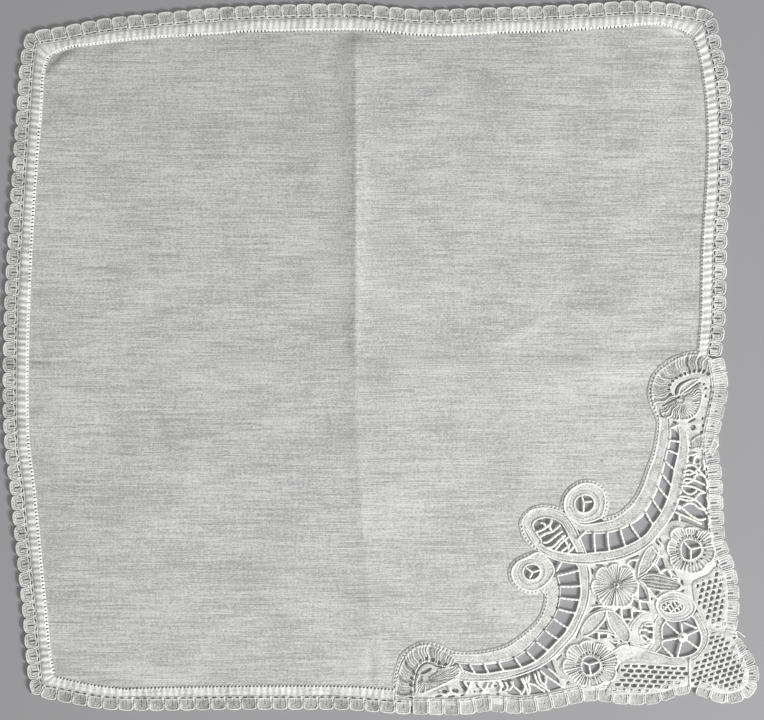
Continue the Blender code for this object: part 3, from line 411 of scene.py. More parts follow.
linen_skin = linen_material("linen_lawn", (0.40, 0.40, 0.397, 1.0), (0.69, 0.69, 0.68, 1.0),
                            0.00018)
pin_left, pin_top = smooth(PIN_LEFT), smooth(PIN_TOP)
pin_right, pin_low = smooth(PIN_RIGHT), smooth(PIN_LOW)
lace_line = smooth(LACE_LINE, 3)
lace_corner = np.vstack([lace_line, [(5.2, -160.0), (170.0, -160.0), (170.0, 1.2)]])
SHEET_CELLS = 196
FOLD_SHARE = 0.49
SHEET_SIDE = 253.0
SHEET_LAP = 1.15
FOLD_PULL = 0.07  # columns are closer at the fold
LACE_REACH = 2.2
cloth = bmesh.new()
bmesh.ops.create_grid(cloth, x_segments=SHEET_CELLS, y_segments=SHEET_CELLS, size=0.5)
flat = np.array([v.co[:2] for v in cloth.verts]) + 0.5
flat[:, 0] -= FOLD_PULL * (np.sin(TURN * (flat[:, 0] - FOLD_SHARE))
                      + math.sin(TURN * FOLD_SHARE))
inset = SHEET_LAP / SHEET_SIDE
shares = inset + (1.0 - 2.0 * inset) * flat
spots = patch(pin_low, pin_top, pin_left, pin_right, shares[:, 0], shares[:, 1])
clear = SHEET_SIDE * np.min(np.concatenate([shares, 1.0 - shares], axis=1), axis=1)
lace_dense = resample(lace_line, 900)
for k in np.flatnonzero((spots[:, 0] > -12.0) & (spots[:, 1] < 16.0)):
    clear[k] = min(clear[k], np.hypot(lace_dense[:, 0] - spots[k, 0],
                                      lace_dense[:, 1] - spots[k, 1]).min() + 1.5)
heights = settled(spots[:, 0], spots[:, 1], clear)
for vert, spot, height in zip(cloth.verts, spots, heights):
    vert.co = ((spot[0] + SHIFT[0]) * MM, (spot[1] + SHIFT[1]) * MM, height * MM)
gone = []
for face in cloth.faces:
    centre = face.calc_center_median() / MM
    if centre.x > 0.0 and centre.y < 6.0:
        gone.append((face, centre.x - SHIFT[0], centre.y - SHIFT[1]))
cut = inside(lace_corner, np.array([g[1] for g in gone]), np.array([g[2] for g in gone]))
bmesh.ops.delete(cloth, geom=[g[0] for g, c in zip(gone, cut) if c], context="FACES")
for vert in cloth.verts:
    if vert.is_boundary:
        x, y = vert.co.x / MM - SHIFT[0], vert.co.y / MM - SHIFT[1]
        gap = np.hypot(lace_dense[:, 0] - x, lace_dense[:, 1] - y)
        k = int(gap.argmin())
        if gap[k] < LACE_REACH:
            vert.co.x = (lace_dense[k, 0] + SHIFT[0]) * MM
            vert.co.y = (lace_dense[k, 1] + SHIFT[1]) * MM
bmesh.ops.remove_doubles(cloth, verts=cloth.verts, dist=0.00005)
for edge in cloth.edges:
    edge.smooth = not edge.is_boundary
linen = make_piece("linen_sheet", cloth, linen_skin, "linen_ground", 0.3)

# Hem. The linen's edge is rolled over and whipped down, which gives slanting lumps, and a line of
# pin stitches runs along its inner side: each stitch pulls a small slot open in the cloth.
FOOT_LEFT = [
    (-128.7, -123.4), (-130, -110), (-131.2, -95), (-134.8, -60), (-135.7, -50), (-137.7, -35),
    (-138.5, -20), (-138.5, 0), (-138, 20), (-137, 40), (-135.1, 70), (-133, 100), (-132.3, 110),
    (-130.9, 119.9)]
FOOT_TOP = [
    (-130.9, 119.9), (-120, 121.5), (-110, 123.5), (-100, 125), (-80, 127), (-60, 128.7),
    (-40, 129.6), (-25, 130), (-10, 130), (5, 128.7), (18, 127.7), (35, 128.4), (60, 129.2),
    (80, 130.2), (95, 131.2), (105, 130.8), (115, 129.4), (122.6, 128.2)]
FOOT_RIGHT = [
    (124, 1.6), (125.2, 10), (125.8, 20), (126, 30), (126.5, 50), (127.5, 60), (128, 70),
    (128.3, 80), (128.2, 90), (127.7, 100), (126.3, 110), (124, 120), (122.6, 128.2)]
FOOT_LOW = [
    (-128.7, -123.4), (-122, -124.6), (-115, -126), (-103, -127.9), (-85, -128.2), (-60, -127.9),
    (-30, -127.8), (-12, -128), (5, -129.3)]
PIN_PITCH = 1.38
PIN_CELLS = 4
PIN_EDGE = 0.95  # inner edge to the pin holes
HEM_ROWS = 14
BAND_THICK = 0.3
CLOTH_SCALE = 0.1  # units of the thread texture to a millimetre


def new_work():
    """Empty mesh with thread cover and cloth coordinates."""
    work = bmesh.new()
    work.verts.layers.float.new("cover")
    work.loops.layers.uv.new("cloth")
    return work


def add_strip(work, left, right, rows, height, cover, holes=None, closed=False):
    """Band between two lines with as many points each: heights, thread cover and holes by cell."""
    count = len(left) - 1
    cover = np.clip(cover, 0.0, 1.0)
    cover_layer = work.verts.layers.float["cover"]
    uv_layer = work.loops.layers.uv["cloth"]
    made = bmesh.ops.create_grid(work, x_segments=count, y_segments=rows, size=0.5)["verts"]
    across = np.linspace(0.0, 1.0, rows + 1)
    width = np.hypot(*(right - left).T)
    run = run_of(0.5 * (left + right))
    place = {v: (round((v.co.x + 0.5) * count), round((v.co.y + 0.5) * rows)) for v in made}
    uv_at = {}
    for vert, (i, j) in place.items():
        t = across[j]
        x = left[i, 0] * (1 - t) + right[i, 0] * t
        y = left[i, 1] * (1 - t) + right[i, 1] * t
        vert.co = ((x + SHIFT[0]) * MM, (y + SHIFT[1]) * MM, height[i, j] * MM)
        vert[cover_layer] = cover[i, j]
        uv_at[vert] = (run[i] * CLOTH_SCALE, t * width[i] * CLOTH_SCALE)
    faces = list({f for v in made for f in v.link_faces})
    faces.sort(key=lambda f: f.index)
    drop, keep = [], []
    for face in faces:
        for loop in face.loops:
            loop[uv_layer].uv = uv_at[loop.vert]
        i = min(place[v][0] for v in face.verts)
        j = min(place[v][1] for v in face.verts)
        (drop if holes is not None and holes[i, j] else keep).append(face)
    if drop:
        bmesh.ops.delete(work, geom=drop, context="FACES")
        rim = [v for v in made if v.is_valid and v.is_boundary
               and 0 < place[v][1] < rows and 0 < place[v][0] < count]
        for _ in range(2):
            bmesh.ops.smooth_vert(work, verts=rim, factor=0.45, use_axis_x=True,
                                  use_axis_y=True, use_axis_z=True)
    made = [v for v in made if v.is_valid]
    if closed:
        ends = [v for v in made if place[v][0] in (0, count)]
        bmesh.ops.remove_doubles(work, verts=ends, dist=0.00001)
    bmesh.ops.recalc_face_normals(work, faces=keep)
    if sum(f.normal.z for f in keep) < 0.0:
        bmesh.ops.reverse_faces(work, faces=keep)
    grown = bmesh.ops.extrude_face_region(work, geom=keep, use_keep_orig=True)["geom"]
    under = [g for g in grown if isinstance(g, bmesh.types.BMVert)]
    bmesh.ops.translate(work, verts=under, vec=(0.0, 0.0, -BAND_THICK * MM))
    shell = keep + list({f for v in under for f in v.link_faces})
    bmesh.ops.recalc_face_normals(work, faces=shell)


def grid_of(left, right, rows):
    """Millimetres along the band, in from its left edge and in from its right edge."""
    width = np.hypot(*(right - left).T)[:, None]
    run = run_of(0.5 * (left + right))[:, None]
    t = np.linspace(0.0, 1.0, rows + 1)[None, :]
    return run + 0.0 * t, t * width, (1.0 - t) * width


def cell_middle(grid):
    """Mean of the four corners of each cell."""
    return 0.25 * (grid[:-1, :-1] + grid[1:, :-1] + grid[:-1, 1:] + grid[1:, 1:])


def cord_at(distance, at, wide):
    """Half-round profile of a cord at a distance from an edge."""
    return np.clip(1.0 - ((distance - at) / (0.5 * wide)) ** 2, 0.0, 1.0)


def edge_cords(a, b, wide=0.9):
    """Cords along both edges of a band."""
    return np.maximum(cord_at(a, 0.3, wide), cord_at(b, 0.3, wide))


def uneven_threads(random, a, closed=False):
    """Chance differences between threads, which agree where a closed band meets itself."""
    rough = random.normal(0.0, 1.0, a.shape)
    if closed:
        rough[-1] = rough[0]
    return rough


def facing(outer, line):
    """Points of a line that face those of another, in order and up to both its ends."""
    count = 3000
    dense = resample(line, count)
    at = [np.hypot(dense[:, 0] - x, dense[:, 1] - y).argmin() for x, y in outer]
    at = np.maximum.accumulate(np.array(at, dtype=float)) + np.linspace(0.0, 45.0, len(outer))
    at = (at - at[0]) / (at[-1] - at[0]) * count
    steps = np.arange(count + 1)
    return np.column_stack([np.interp(at, steps, dense[:, 0]), np.interp(at, steps, dense[:, 1])])


def hem_piece(name, foot, pin, seed, lumpy, hole_long, hole_tall):
    """One side of the hem, from the edging's footing to just inside the pin stitches."""
    random = np.random.default_rng(seed)
    total = run_of(foot)[-1]
    count = int(total / PIN_PITCH) * PIN_CELLS
    outer = resample(foot, count)
    inner = facing(outer, pin)
    run, a, b = grid_of(outer, inner, HEM_ROWS)
    wide = a + b
    lumps = 2000
    lump = random.uniform(0.5, 1.0, lumps)
    phase = run / 2.5 + 0.3 * np.sin(run / 7.0) + 0.2 * a / wide
    bulge = np.sin(math.pi * phase) ** 2 * lump[np.clip(phase.astype(int), 0, lumps - 1)]
    body = np.clip(1.0 - ((a - 0.40 * wide) / (0.44 * wide)) ** 2, 0.0, 1.0) ** 0.5
    ground = settled(inner[:, 0], inner[:, 1], 1.0)[:, None]
    cells = np.arange(count + 1)[:, None] % PIN_CELLS
    stitched = (b < 1.5 + hole_tall) & (b > PIN_EDGE) & (cells >= hole_long)
    height = (ground + body * (0.40 + (0.12 + 0.30 * lumpy) * bulge)
              - 0.12 * np.clip(1.0 - b / 0.6, 0.0, 1.0))
    height = height + 0.16 * stitched * np.sin(math.pi * np.clip((b - PIN_EDGE) / 1.5, 0, 1))
    crease_shade = cord_at(a - 0.5 * np.sin(run / 5.0) - 0.4 * np.sin(run / 2.3 + 1.0), 1.5, 0.5)
    cloudy = 0.10 * np.sin(run / 3.1 + 2.0 * np.sin(run / 8.3)) + random.normal(0.0, 0.07, a.shape)
    # The lumps are raised in the height above; the lighter cover on them and the darker cover
    # between them and along the wavy creases is painted shade.
    cover = 0.30 + body * (0.46 - 0.44 * lumpy + 0.95 * lumpy * bulge) + cloudy * body
    cover = cover + 0.45 * stitched
    cover = cover - 0.34 * crease_shade * (1.2 - lumpy) - 0.3 * cord_at(a, 0.1 * wide, 0.1 * wide)
    cover = np.where(b < PIN_EDGE, 0.26, cover)
    gap_cells = (np.arange(count) % PIN_CELLS < hole_long)[:, None]
    mid_b = 0.5 * (b[:-1, :-1] + b[1:, 1:])
    holes = gap_cells & (mid_b < 1.0 + hole_tall) & (mid_b > 1.0)
    work = new_work()
    add_strip(work, outer, inner, HEM_ROWS, height, cover, holes)
    return make_piece(name, work, stitched_skin, None)


def cover_material(name, low, high, grain, depth, along=0.35):
    """White thread work: the cover attribute sets how closely the threads lie, and in the hem and
    the cut-out plates it also carries painted shade.
    """
    skin = bpy.data.materials.new(name)
    skin.use_nodes = True
    nodes, links = skin.node_tree.nodes, skin.node_tree.links
    shader = nodes["Principled BSDF"]
    shader.inputs["Roughness"].default_value = 0.8
    shader.inputs["Sheen Weight"].default_value = 0.15
    shader.inputs["Specular IOR Level"].default_value = 0.25
    cover = nodes.new("ShaderNodeAttribute")
    cover.attribute_name = "cover"
    path = nodes.new("ShaderNodeUVMap")
    path.uv_map = "cloth"
    threads = noise(nodes, links, path.outputs["UV"], grain, 2.0, (along, 1.0, 1.0))
    coords = nodes.new("ShaderNodeTexCoord").outputs["Object"]
    uneven = noise(nodes, links, coords, PER_MM, 3.0, (0.25, 0.25, 0.25))
    share = nodes.new("ShaderNodeMath")
    share.operation = "ADD"
    links.new(cover.outputs["Fac"], share.inputs[0])
    links.new(ranged(nodes, links, threads, 0.3, 0.7, -0.22, 0.22), share.inputs[1])
    more = nodes.new("ShaderNodeMath")
    more.operation = "ADD"
    more.use_clamp = True
    links.new(share.outputs["Value"], more.inputs[0])
    links.new(ranged(nodes, links, uneven, 0.3, 0.7, -0.12, 0.12), more.inputs[1])
    share = ranged(nodes, links, more.outputs["Value"], 0.13, 1.0, 0.0, 1.0)
    colour = mixed(nodes, links, share, low, high)
    links.new(colour, shader.inputs["Base Color"])
    links.new(bumped(nodes, links, threads, depth, 0.8), shader.inputs["Normal"])
    return skin


stitched_skin = cover_material("linen_hem_whipped", (0.40, 0.40, 0.392, 1.0),
                               (0.90, 0.895, 0.865, 1.0), 28.0, 0.00012, 0.5)
edge_share = np.linspace(0.0, 1.0, 600)
inner_share = 1.8 / SHEET_SIDE


def inner_line(u, v):
    """Line inside the pin stitches, at shares u and v of the sheet."""
    return patch(pin_low, pin_top, pin_left, pin_right, u, v)


ones = np.ones_like(edge_share)
span = inner_share + (1.0 - 2.0 * inner_share) * edge_share
left_in = inner_line(ones * inner_share, span)
hem_left = hem_piece("hem_left", smooth(FOOT_LEFT), left_in, 1, 1.0, 1, 0.75)
top_in = inner_line(span, ones * (1 - inner_share))
hem_top = hem_piece("hem_top", smooth(FOOT_TOP), top_in, 2, 0.4, 1, 0.45)
right_in = inner_line(ones * (1 - inner_share), span)
right_in = right_in[right_in[:, 1] > 1.6]
hem_right = hem_piece("hem_right", smooth(FOOT_RIGHT), right_in, 3, 0.8, 1, 0.6)
low_in = inner_line(span, ones * inner_share)
low_in = low_in[low_in[:, 0] < 5.4]
hem_low = hem_piece("hem_low", smooth(FOOT_LOW), low_in, 4, 0.25, 2, 0.38)

# The lace corner is pin-stitched into the linen in the same way, a little wider apart.
SEAM_PITCH = 1.55
seam_count = int(run_of(lace_line)[-1] / SEAM_PITCH) * PIN_CELLS
seam_line = resample(lace_line[lace_line[:, 1] > -126.0], seam_count)
seam_out = sideways(seam_line, 1.6)
seam_lace, seam_linen = seam_line + 1.0 * seam_out, seam_line - 1.2 * seam_out
run, a, b = grid_of(seam_lace, seam_linen, 8)
cells = np.arange(seam_count + 1)[:, None] % PIN_CELLS
level = settled(seam_line[:, 0], seam_line[:, 1], 1.5)[:, None]
uneven = np.random.default_rng(5).normal(0.0, 1.0, run.shape)
stitched = (cells > 0) & (a > 0.3) & (a < 1.75)
seam_height = level + 0.1 + 0.2 * stitched * np.sin(
    math.pi * np.clip(a / 1.9, 0.0, 1.0)) + 0.02 * uneven - 0.06 * (b < 0.3)
seam_cover = 0.36 + 0.34 * stitched + 0.1 * uneven + 0.1 * (a < 0.5)
am = cell_middle(a)
seam_holes = (np.arange(seam_count) % PIN_CELLS == 0)[:, None] & (am > 0.8) & (am < 1.4)
seam = new_work()
add_strip(seam, seam_linen[::-1], seam_lace[::-1], 8, seam_height[::-1, ::-1],
          seam_cover[::-1, ::-1], seam_holes[::-1, ::-1])
lace_seam = make_piece("lace_seam", seam, stitched_skin, None)

# Edging. A narrow bobbin lace braid sewn to the hem: each scallop is a small fan with a slit up
# its middle, bright cords down its two sides and a corded rim; the footing has a row of holes.
SCALLOP = 5.85


def fan_lines(base, width, pitch, cells, curl, notch, power):
    """Inner and scalloped outer line of a braid that stands to the left of its base line."""
    middle = base + sideways(base, curl) * 0.5 * width
    count = max(1, round(run_of(middle)[-1] / pitch)) * cells
    middle = resample(middle, count)
    out = sideways(middle, curl)
    phase = (np.arange(count + 1) % cells) / cells
    level = out[:, 1] ** 2
    tip = width - notch * (1.0 - 0.45 * level) * np.abs(2.0 * phase - 1.0) ** power
    inner = middle - out * 0.5 * width
    outer = middle + out * (tip - 0.5 * width)[:, None]
    return inner, outer, phase, level


def fan_work(base, width, pitch, seed, curl, notch, power, cells, rows, ribs, skew, bend, soft):
    """Scalloped braid on a base line: doubled cords round every fan, slit, footing holes."""
    random = np.random.default_rng(seed)
    inner, outer, phase, level = fan_lines(base, width, pitch, cells, curl, notch, power)
    upright = (1.0 - level)[:, None]
    run, a, b = grid_of(inner, outer, rows)
    lean = skew * np.clip(1.0 - a / 2.4, 0.0, 1.0) ** 1.4
    p = np.mod(phase[:, None] + lean, 1.0)
    side = np.minimum(p, 1.0 - p) * pitch
    corner = np.hypot(np.clip(bend - side, 0.0, None), np.clip(bend - b, 0.0, None))
    depth_in = np.where((side < bend) & (b < bend), bend - corner, np.minimum(side, b))
    rim = cord_at(depth_in, 0.34, 0.66) * (1.0 - 1.5 * soft * (b < side))
    along = np.clip((b - side) / 0.8 + 0.5, 0.0, 1.0)
    tips = 1.0 - (0.45 + 1.2 * soft) * (1.0 - along)
    second = cord_at(depth_in, 1.12, 0.56) * tips * (0.3 + 0.7 * upright)
    groove = cord_at(depth_in, 0.74, 0.34) + 0.7 * cord_at(depth_in, 1.52, 0.34)
    groove = groove * tips * (0.4 + 0.6 * upright)
    foot = np.maximum(cord_at(a, 0.1, 0.5), cord_at(a, 1.05, 0.5))
    centre = np.abs(p - 0.5) * pitch
    lips = cord_at(centre, 0.65, 0.5) * (a > 0.8) * (a < width * 0.68) * upright
    rib = (0.5 - 0.5 * np.cos(TURN * p * ribs)) * (side > 1.3) * (b > 0.5)
    rib = rib * (0.25 + 0.75 * upright)
    seam = cord_at(side, 0.0, 0.3) * (a > 0.9) * (0.3 + 0.7 * upright)
    seam = seam + 2.2 * soft * cord_at(side, 0.0, 0.3) * (b < 3.0) * upright
    count = len(inner)
    each = random.normal(0.0, 1.0, (count // cells + 2, 2)).repeat(cells, axis=0)[:count]
    rough = uneven_threads(random, a)
    cord = np.maximum(np.maximum(rim, 0.75 * second), np.maximum(0.8 * foot, 0.45 * lips))
    height = (0.44 + 0.40 * cord + 0.10 * rib - (0.18 * groove + 0.12 * seam) * (1.0 - soft)
              + 0.04 * each[:, :1] + 0.02 * rough)
    cover = (0.44 + 0.10 * soft + (0.60 - 0.25 * soft) * cord + (0.12 + 0.30 * soft) * rib
             - (0.40 * groove + 0.26 * seam) * (1.0 - 0.7 * soft) + 0.05 * each[:, 1:]
             + 0.07 * rough)
    pm = (np.arange(count - 1) % cells + 0.5)[:, None] / cells
    am = cell_middle(a)
    long = 0.60 * width + 0.25 * each[:-1, :1]
    holes = (np.abs(pm - 0.5) < 0.51 / cells) & (am > 1.05) & (am < long)
    lying = (level[1:] > 0.5)[:, None]
    holes &= ~lying | (np.arange(rows) % 2 == 0)[None, :]
    holes |= (lying & (np.minimum(pm, 1.0 - pm) < 1.01 / cells) & (am > 1.2) & (am < 2.9)
              & (np.arange(rows) % 2 == 0)[None, :])
    feet = (np.abs(pm - 0.26) < 0.12) | (np.abs(pm - 0.76) < 0.11)
    holes |= (am > 0.25) & (am < 0.75) & feet
    work = new_work()
    add_strip(work, inner, outer, rows, height, cover, holes)
    return work


THREAD_DARK = (0.15, 0.15, 0.147, 1.0)
edging_skin = cover_material("edging_thread", THREAD_DARK, (0.90, 0.90, 0.875, 1.0),
                             30.0, 0.00012, 0.8)
foot_low = smooth(FOOT_LOW + [(11.4, -129.6)])[::-1]
foot_right = smooth(FOOT_RIGHT)[::-1]
sewing = np.vstack([foot_low[:-1], smooth(FOOT_LEFT)[:-1], smooth(FOOT_TOP)[:-1], foot_right])
sewing = resample(sewing, 1500)
make_piece("edging", fan_work(sewing, width=5.4, pitch=SCALLOP, seed=11, curl=4.0, notch=1.25,
                              power=3.0, cells=19, rows=17, ribs=5.0, skew=-0.2, bend=0.8,
                              soft=0.0), edging_skin, "edging_braid")

# Border of the corner. The same scalloped work, a little wider and with ribbed fans, carried
# round the lace corner in three lengths.
BORDER_RIGHT = [
    (130.2, 1.2), (131.6, -6), (132, -12), (130.9, -18), (129.6, -24), (128.4, -30), (128.6, -36),
    (129.5, -42), (130, -50), (130.4, -60), (131, -68), (133, -74), (135, -80), (136.2, -88),
    (136.2, -96), (135, -103.8)]
BORDER_LOBE = [
    (135.9, -104.9), (140, -110.5), (142.6, -115), (143.8, -119.5), (143.3, -123.5), (141, -127.6),
    (136.3, -130.2), (130.5, -130.9), (125.5, -129.6), (119, -127.2)]
BORDER_LOW = [
    (117.6, -127), (113, -127.9), (108, -129.9), (103, -131.2), (97, -131.4), (91, -131.1),
    (85, -130.2), (80, -129.9), (75, -130.7), (68, -132.4), (60, -134), (53, -134.8), (46, -134.3),
    (40, -133.9), (34, -134.9), (26, -135.3), (18, -135.1), (12, -135.1)]
BORDER_WIDTH = 6.3


def add_cord(work, line, radius, z, closed=False, sides=6, knots=0.0, step=0.45):
    """Thread or plait laid along a line; knots is the height of its regular lumps."""
    points = np.array(line, dtype=float)
    if closed:
        points = np.vstack([points, points[:1]])
    count = max(3, int(run_of(points)[-1] / step))
    points = resample(points, count)
    run = run_of(points)
    out = sideways(points, 0.5)
    if closed:
        out[0] = out[0] + out[-1]
        out[0] = out[-1] = out[0] / np.hypot(*out[0])
    level = np.interp(run, np.linspace(0.0, run[-1], np.size(z)), np.ravel(z))
    tip = np.clip(np.minimum(run, run[-1] - run) / (1.4 * radius), 0.0, 1.0)
    full = np.ones_like(run) if closed else 0.3 + 0.7 * np.sqrt(1.0 - (1.0 - tip) ** 2)
    made = bmesh.ops.create_grid(work, x_segments=count, y_segments=sides, size=0.5)["verts"]
    cover_layer = work.verts.layers.float["cover"]
    uv_layer = work.loops.layers.uv["cloth"]
    uv_at, seam = {}, []
    for vert in made:
        i, j = round((vert.co.x + 0.5) * count), round((vert.co.y + 0.5) * sides)
        angle = TURN * j / sides
        swell = radius * (1.0 + knots * math.cos(TURN * run[i] / (3.6 * radius))) * full[i]
        over = swell * math.cos(angle)
        vert.co = ((points[i, 0] + out[i, 0] * over + SHIFT[0]) * MM,
                   (points[i, 1] + out[i, 1] * over + SHIFT[1]) * MM,
                   (level[i] + swell * 0.85 * math.sin(angle)) * MM)
        vert[cover_layer] = 1.0
        uv_at[vert] = ((run[i] + 0.9 * radius * j) * CLOTH_SCALE, j * radius * CLOTH_SCALE)
        if j in (0, sides) or (closed and i in (0, count)):
            seam.append(vert)
    faces = {f for v in made for f in v.link_faces}
    for face in faces:
        for loop in face.loops:
            loop[uv_layer].uv = uv_at[loop.vert]
    bmesh.ops.remove_doubles(work, verts=seam, dist=0.000005)
    faces = {f for f in faces if f.is_valid}
    if not closed:
        ends = [e for f in faces for e in f.edges if e.is_boundary]
        faces |= set(bmesh.ops.holes_fill(work, edges=ends, sides=sides + 1)["faces"])
    bmesh.ops.recalc_face_normals(work, faces=list(faces))


def border_work(tips, seed):
    """One length of the border inside the line of its scallops' tips."""
    line = smooth(tips)
    base = line - sideways(line, 3.0) * BORDER_WIDTH
    return fan_work(base, width=BORDER_WIDTH, pitch=5.95, seed=seed, curl=3.0, notch=1.35,
                    power=6.0, cells=23, rows=19, ribs=7.0, skew=-0.08, bend=0.5, soft=0.45)


for border_name, tips, seed, node in (
        ("border_side", BORDER_RIGHT, 21, "border_right"),
        ("border_lobe", BORDER_LOBE, 22, "border_corner"),
        ("border_foot", BORDER_LOW, 23, "border_low")):
    border = border_work(tips, seed)
    if border_name == "border_side":
        add_cord(border, smooth([(134.6, -103.2), (136, -103.6), (137.2, -104.6),
                                 (138.3, -105.4)]), 0.22, 0.6, step=0.3)
        add_cord(border, smooth([(129.8, -4.6), (130.6, -4.9), (131.7, -4.8)]), 0.25, 0.7,
                 step=0.3)
    make_piece(border_name, border, edging_skin, node)

# Scrolls. Each large scroll is two laid tapes with a ladder of plaited bars between them. A tape
# is grey cloth stitch between bright edge cords, with a second fine line beside its outer one.
UPPER_INNER = [
    (72.2, -60.6), (76, -62.4), (80, -62.3), (84, -61.6), (88, -60.6), (92, -58), (96, -54),
    (99, -49), (101.5, -42), (103.8, -36), (105, -30), (105.6, -24.5), (105.3, -21.5)]
UPPER_IN_GAP = [
    (73.8, -63.6), (76.5, -65.9), (80, -66.2), (85.2, -66.1), (90.2, -65), (94, -63.3),
    (99, -60.2), (101.8, -56), (104.5, -51.2), (106.1, -46.5), (107.6, -41.2), (108.9, -35.8),
    (110, -31.7), (110.3, -28), (110, -22.6)]
UPPER_OUT_GAP = [
    (60.6, -69.6), (63, -71.3), (66.5, -72.5), (71, -73.4), (75, -73.7), (78.2, -73.5),
    (82.2, -73), (87.3, -72.4), (92.2, -71), (97.5, -68.5), (101, -65.8), (103.2, -62.5),
    (106, -58.6), (108.8, -52.4), (110.2, -47), (111.4, -40.9), (112.8, -35), (113.4, -30),
    (112.7, -24.2)]
UPPER_OUTER = [
    (59.4, -72.6), (62, -74.3), (65.5, -76), (70, -77.3), (75, -77.9), (80, -78), (85, -77.3),
    (90, -76.5), (95, -74.8), (100, -72), (104, -68.5), (108, -63.5), (110.5, -60), (112.5, -56),
    (114, -51.5), (115.3, -46), (116.5, -40), (116.9, -34), (116.2, -28)]
LOWER_INNER = [
    (60.5, -87.6), (62.8, -90.5), (62.5, -94), (60.5, -98.5), (57, -102.5), (52, -106.5),
    (47, -109.5), (40, -111.3), (33, -112), (26.5, -111.7)]
LOWER_IN_GAP = [
    (63.6, -84.5), (66.6, -81.4), (68.1, -85), (68.3, -89), (67.6, -94), (65.6, -98.6),
    (62.7, -102.5), (59.3, -106.5), (55.8, -110.4), (50.8, -113.6), (45.6, -115.2), (40, -116),
    (34.7, -116), (28.6, -115.4)]
LOWER_OUT_GAP = [
    (73.6, -77.8), (74.8, -79), (75.3, -83), (75.7, -88), (74.9, -92.5), (73.4, -97), (70, -103.2),
    (66.4, -107.2), (62.4, -111.3), (58, -114.8), (52, -117.2), (45.5, -118.2), (39.5, -119.2),
    (34.5, -118.9), (29, -117)]
LOWER_OUTER = [
    (79.2, -78), (79.6, -81), (79.8, -84), (79.5, -89), (78.5, -94), (76, -100), (73.5, -105),
    (69, -110), (65, -114), (60, -117.3), (54, -119.8), (48, -121.5), (40, -122.5), (32, -122.4),
    (28, -121.4)]
UPPER_BARS = [
    ((77.9, -65.2), (74.6, -68.6)), ((80.9, -65.7), (81.4, -73.4)), ((86, -65.7), (86.7, -72.8)),
    ((90.9, -64.6), (92.9, -71.2)), ((94.7, -62.8), (98.6, -68.3)), ((100.5, -58), (103.4, -62.8)),
    ((103.1, -53.1), (106.6, -58)), ((105.2, -48.4), (109.2, -53)),
    ((106.9, -43.6), (110.6, -48.2)), ((108, -38.6), (111.6, -42)), ((109.2, -34.4), (113, -36)),
    ((109.6, -30.6), (113.8, -31.2)), ((110.1, -26), (113.5, -24.6))]
LOWER_BARS = [
    ((68.6, -77), (66.6, -80.6)), ((67, -82.1), (75.4, -80)), ((67.8, -86.2), (76, -86)),
    ((67.8, -90.5), (75.8, -91.3)), ((67.2, -94.8), (74.1, -96.4)),
    ((65.4, -98.3), (71.2, -102.2)), ((62.3, -102.8), (67.8, -106.6)),
    ((58.9, -107.2), (63.8, -110.8)), ((55.3, -110.8), (59, -114.6)),
    ((50.7, -113.2), (53.6, -117.1)), ((44.6, -115), (46.7, -118.4)),
    ((39.2, -115.8), (40.9, -119.3)), ((33.7, -115.9), (35.7, -119.2)),
    ((29.7, -115.8), (31.2, -118.4))]


def tape_cells(inner, outer, step):
    """Both lines at as many even steps, each about as long as step."""
    count = max(4, int(0.5 * (run_of(inner)[-1] + run_of(outer)[-1]) / step))
    return resample(inner, count), resample(outer, count)


def add_tape(work, inner, outer, seed, step=0.38, rows=11, second=True):
    """Laid tape: edge cords, cloth stitch between, a fine groove inside its outer cord."""
    random = np.random.default_rng(seed)
    inner, outer = tape_cells(smooth(inner), smooth(outer), step)
    cord = 0.36
    run, a, b = grid_of(inner, outer, rows)
    bumps = 0.5 + 0.5 * np.sin(run * TURN / 1.15 + random.uniform(0, 6))
    edge = edge_cords(a, b, 0.95)
    line = cord_at(b, 1.25, 0.6) if second else 0.0
    groove = cord_at(b, 0.80, 0.34) + 0.6 * cord_at(a, 0.95, 0.4)
    rough = uneven_threads(random, a)
    dots = (np.sin(run * TURN / 1.2) * np.sin(a * TURN / 1.1)) * 0.5
    height = 0.5 + cord * edge * (0.6 + 0.4 * bumps) + 0.6 * cord * line - 0.2 * groove
    height = height + (0.03 * rough + 0.04 * dots) * (1.0 - edge)
    cover = 0.66 + 0.42 * edge * (0.7 + 0.3 * bumps) + 0.26 * line - 0.6 * groove + 0.08 * rough
    cover = cover + 0.34 * dots * (1.0 - edge)
    add_strip(work, inner, outer, rows, height, cover)


def add_plaits(work, lines, radius, z, knots=0.14, step=0.3, rounding=4):
    """Plaited bars, each a cord with regular lumps along a rounded line."""
    for line in lines:
        add_cord(work, smooth(line, rounding), radius, z, knots=knots, sides=7, step=step)


def add_bars(work, bars):
    """Ladder of bars between two tapes, a little bent and raised at both ends."""
    for start, end in bars:
        s, e = np.array(start), np.array(end)
        sag = np.array([e[1] - s[1], s[0] - e[0]]) * 0.02
        add_plaits(work, [[s, 0.5 * (s + e) + sag, e]], 0.44, [0.95, 0.75, 0.75, 0.75, 0.95],
                   0.16, rounding=6)


def tape_piece(name, work, node):
    """Puts a finished piece of tape work in the scene."""
    make_piece(name, work, tape_skin, node)


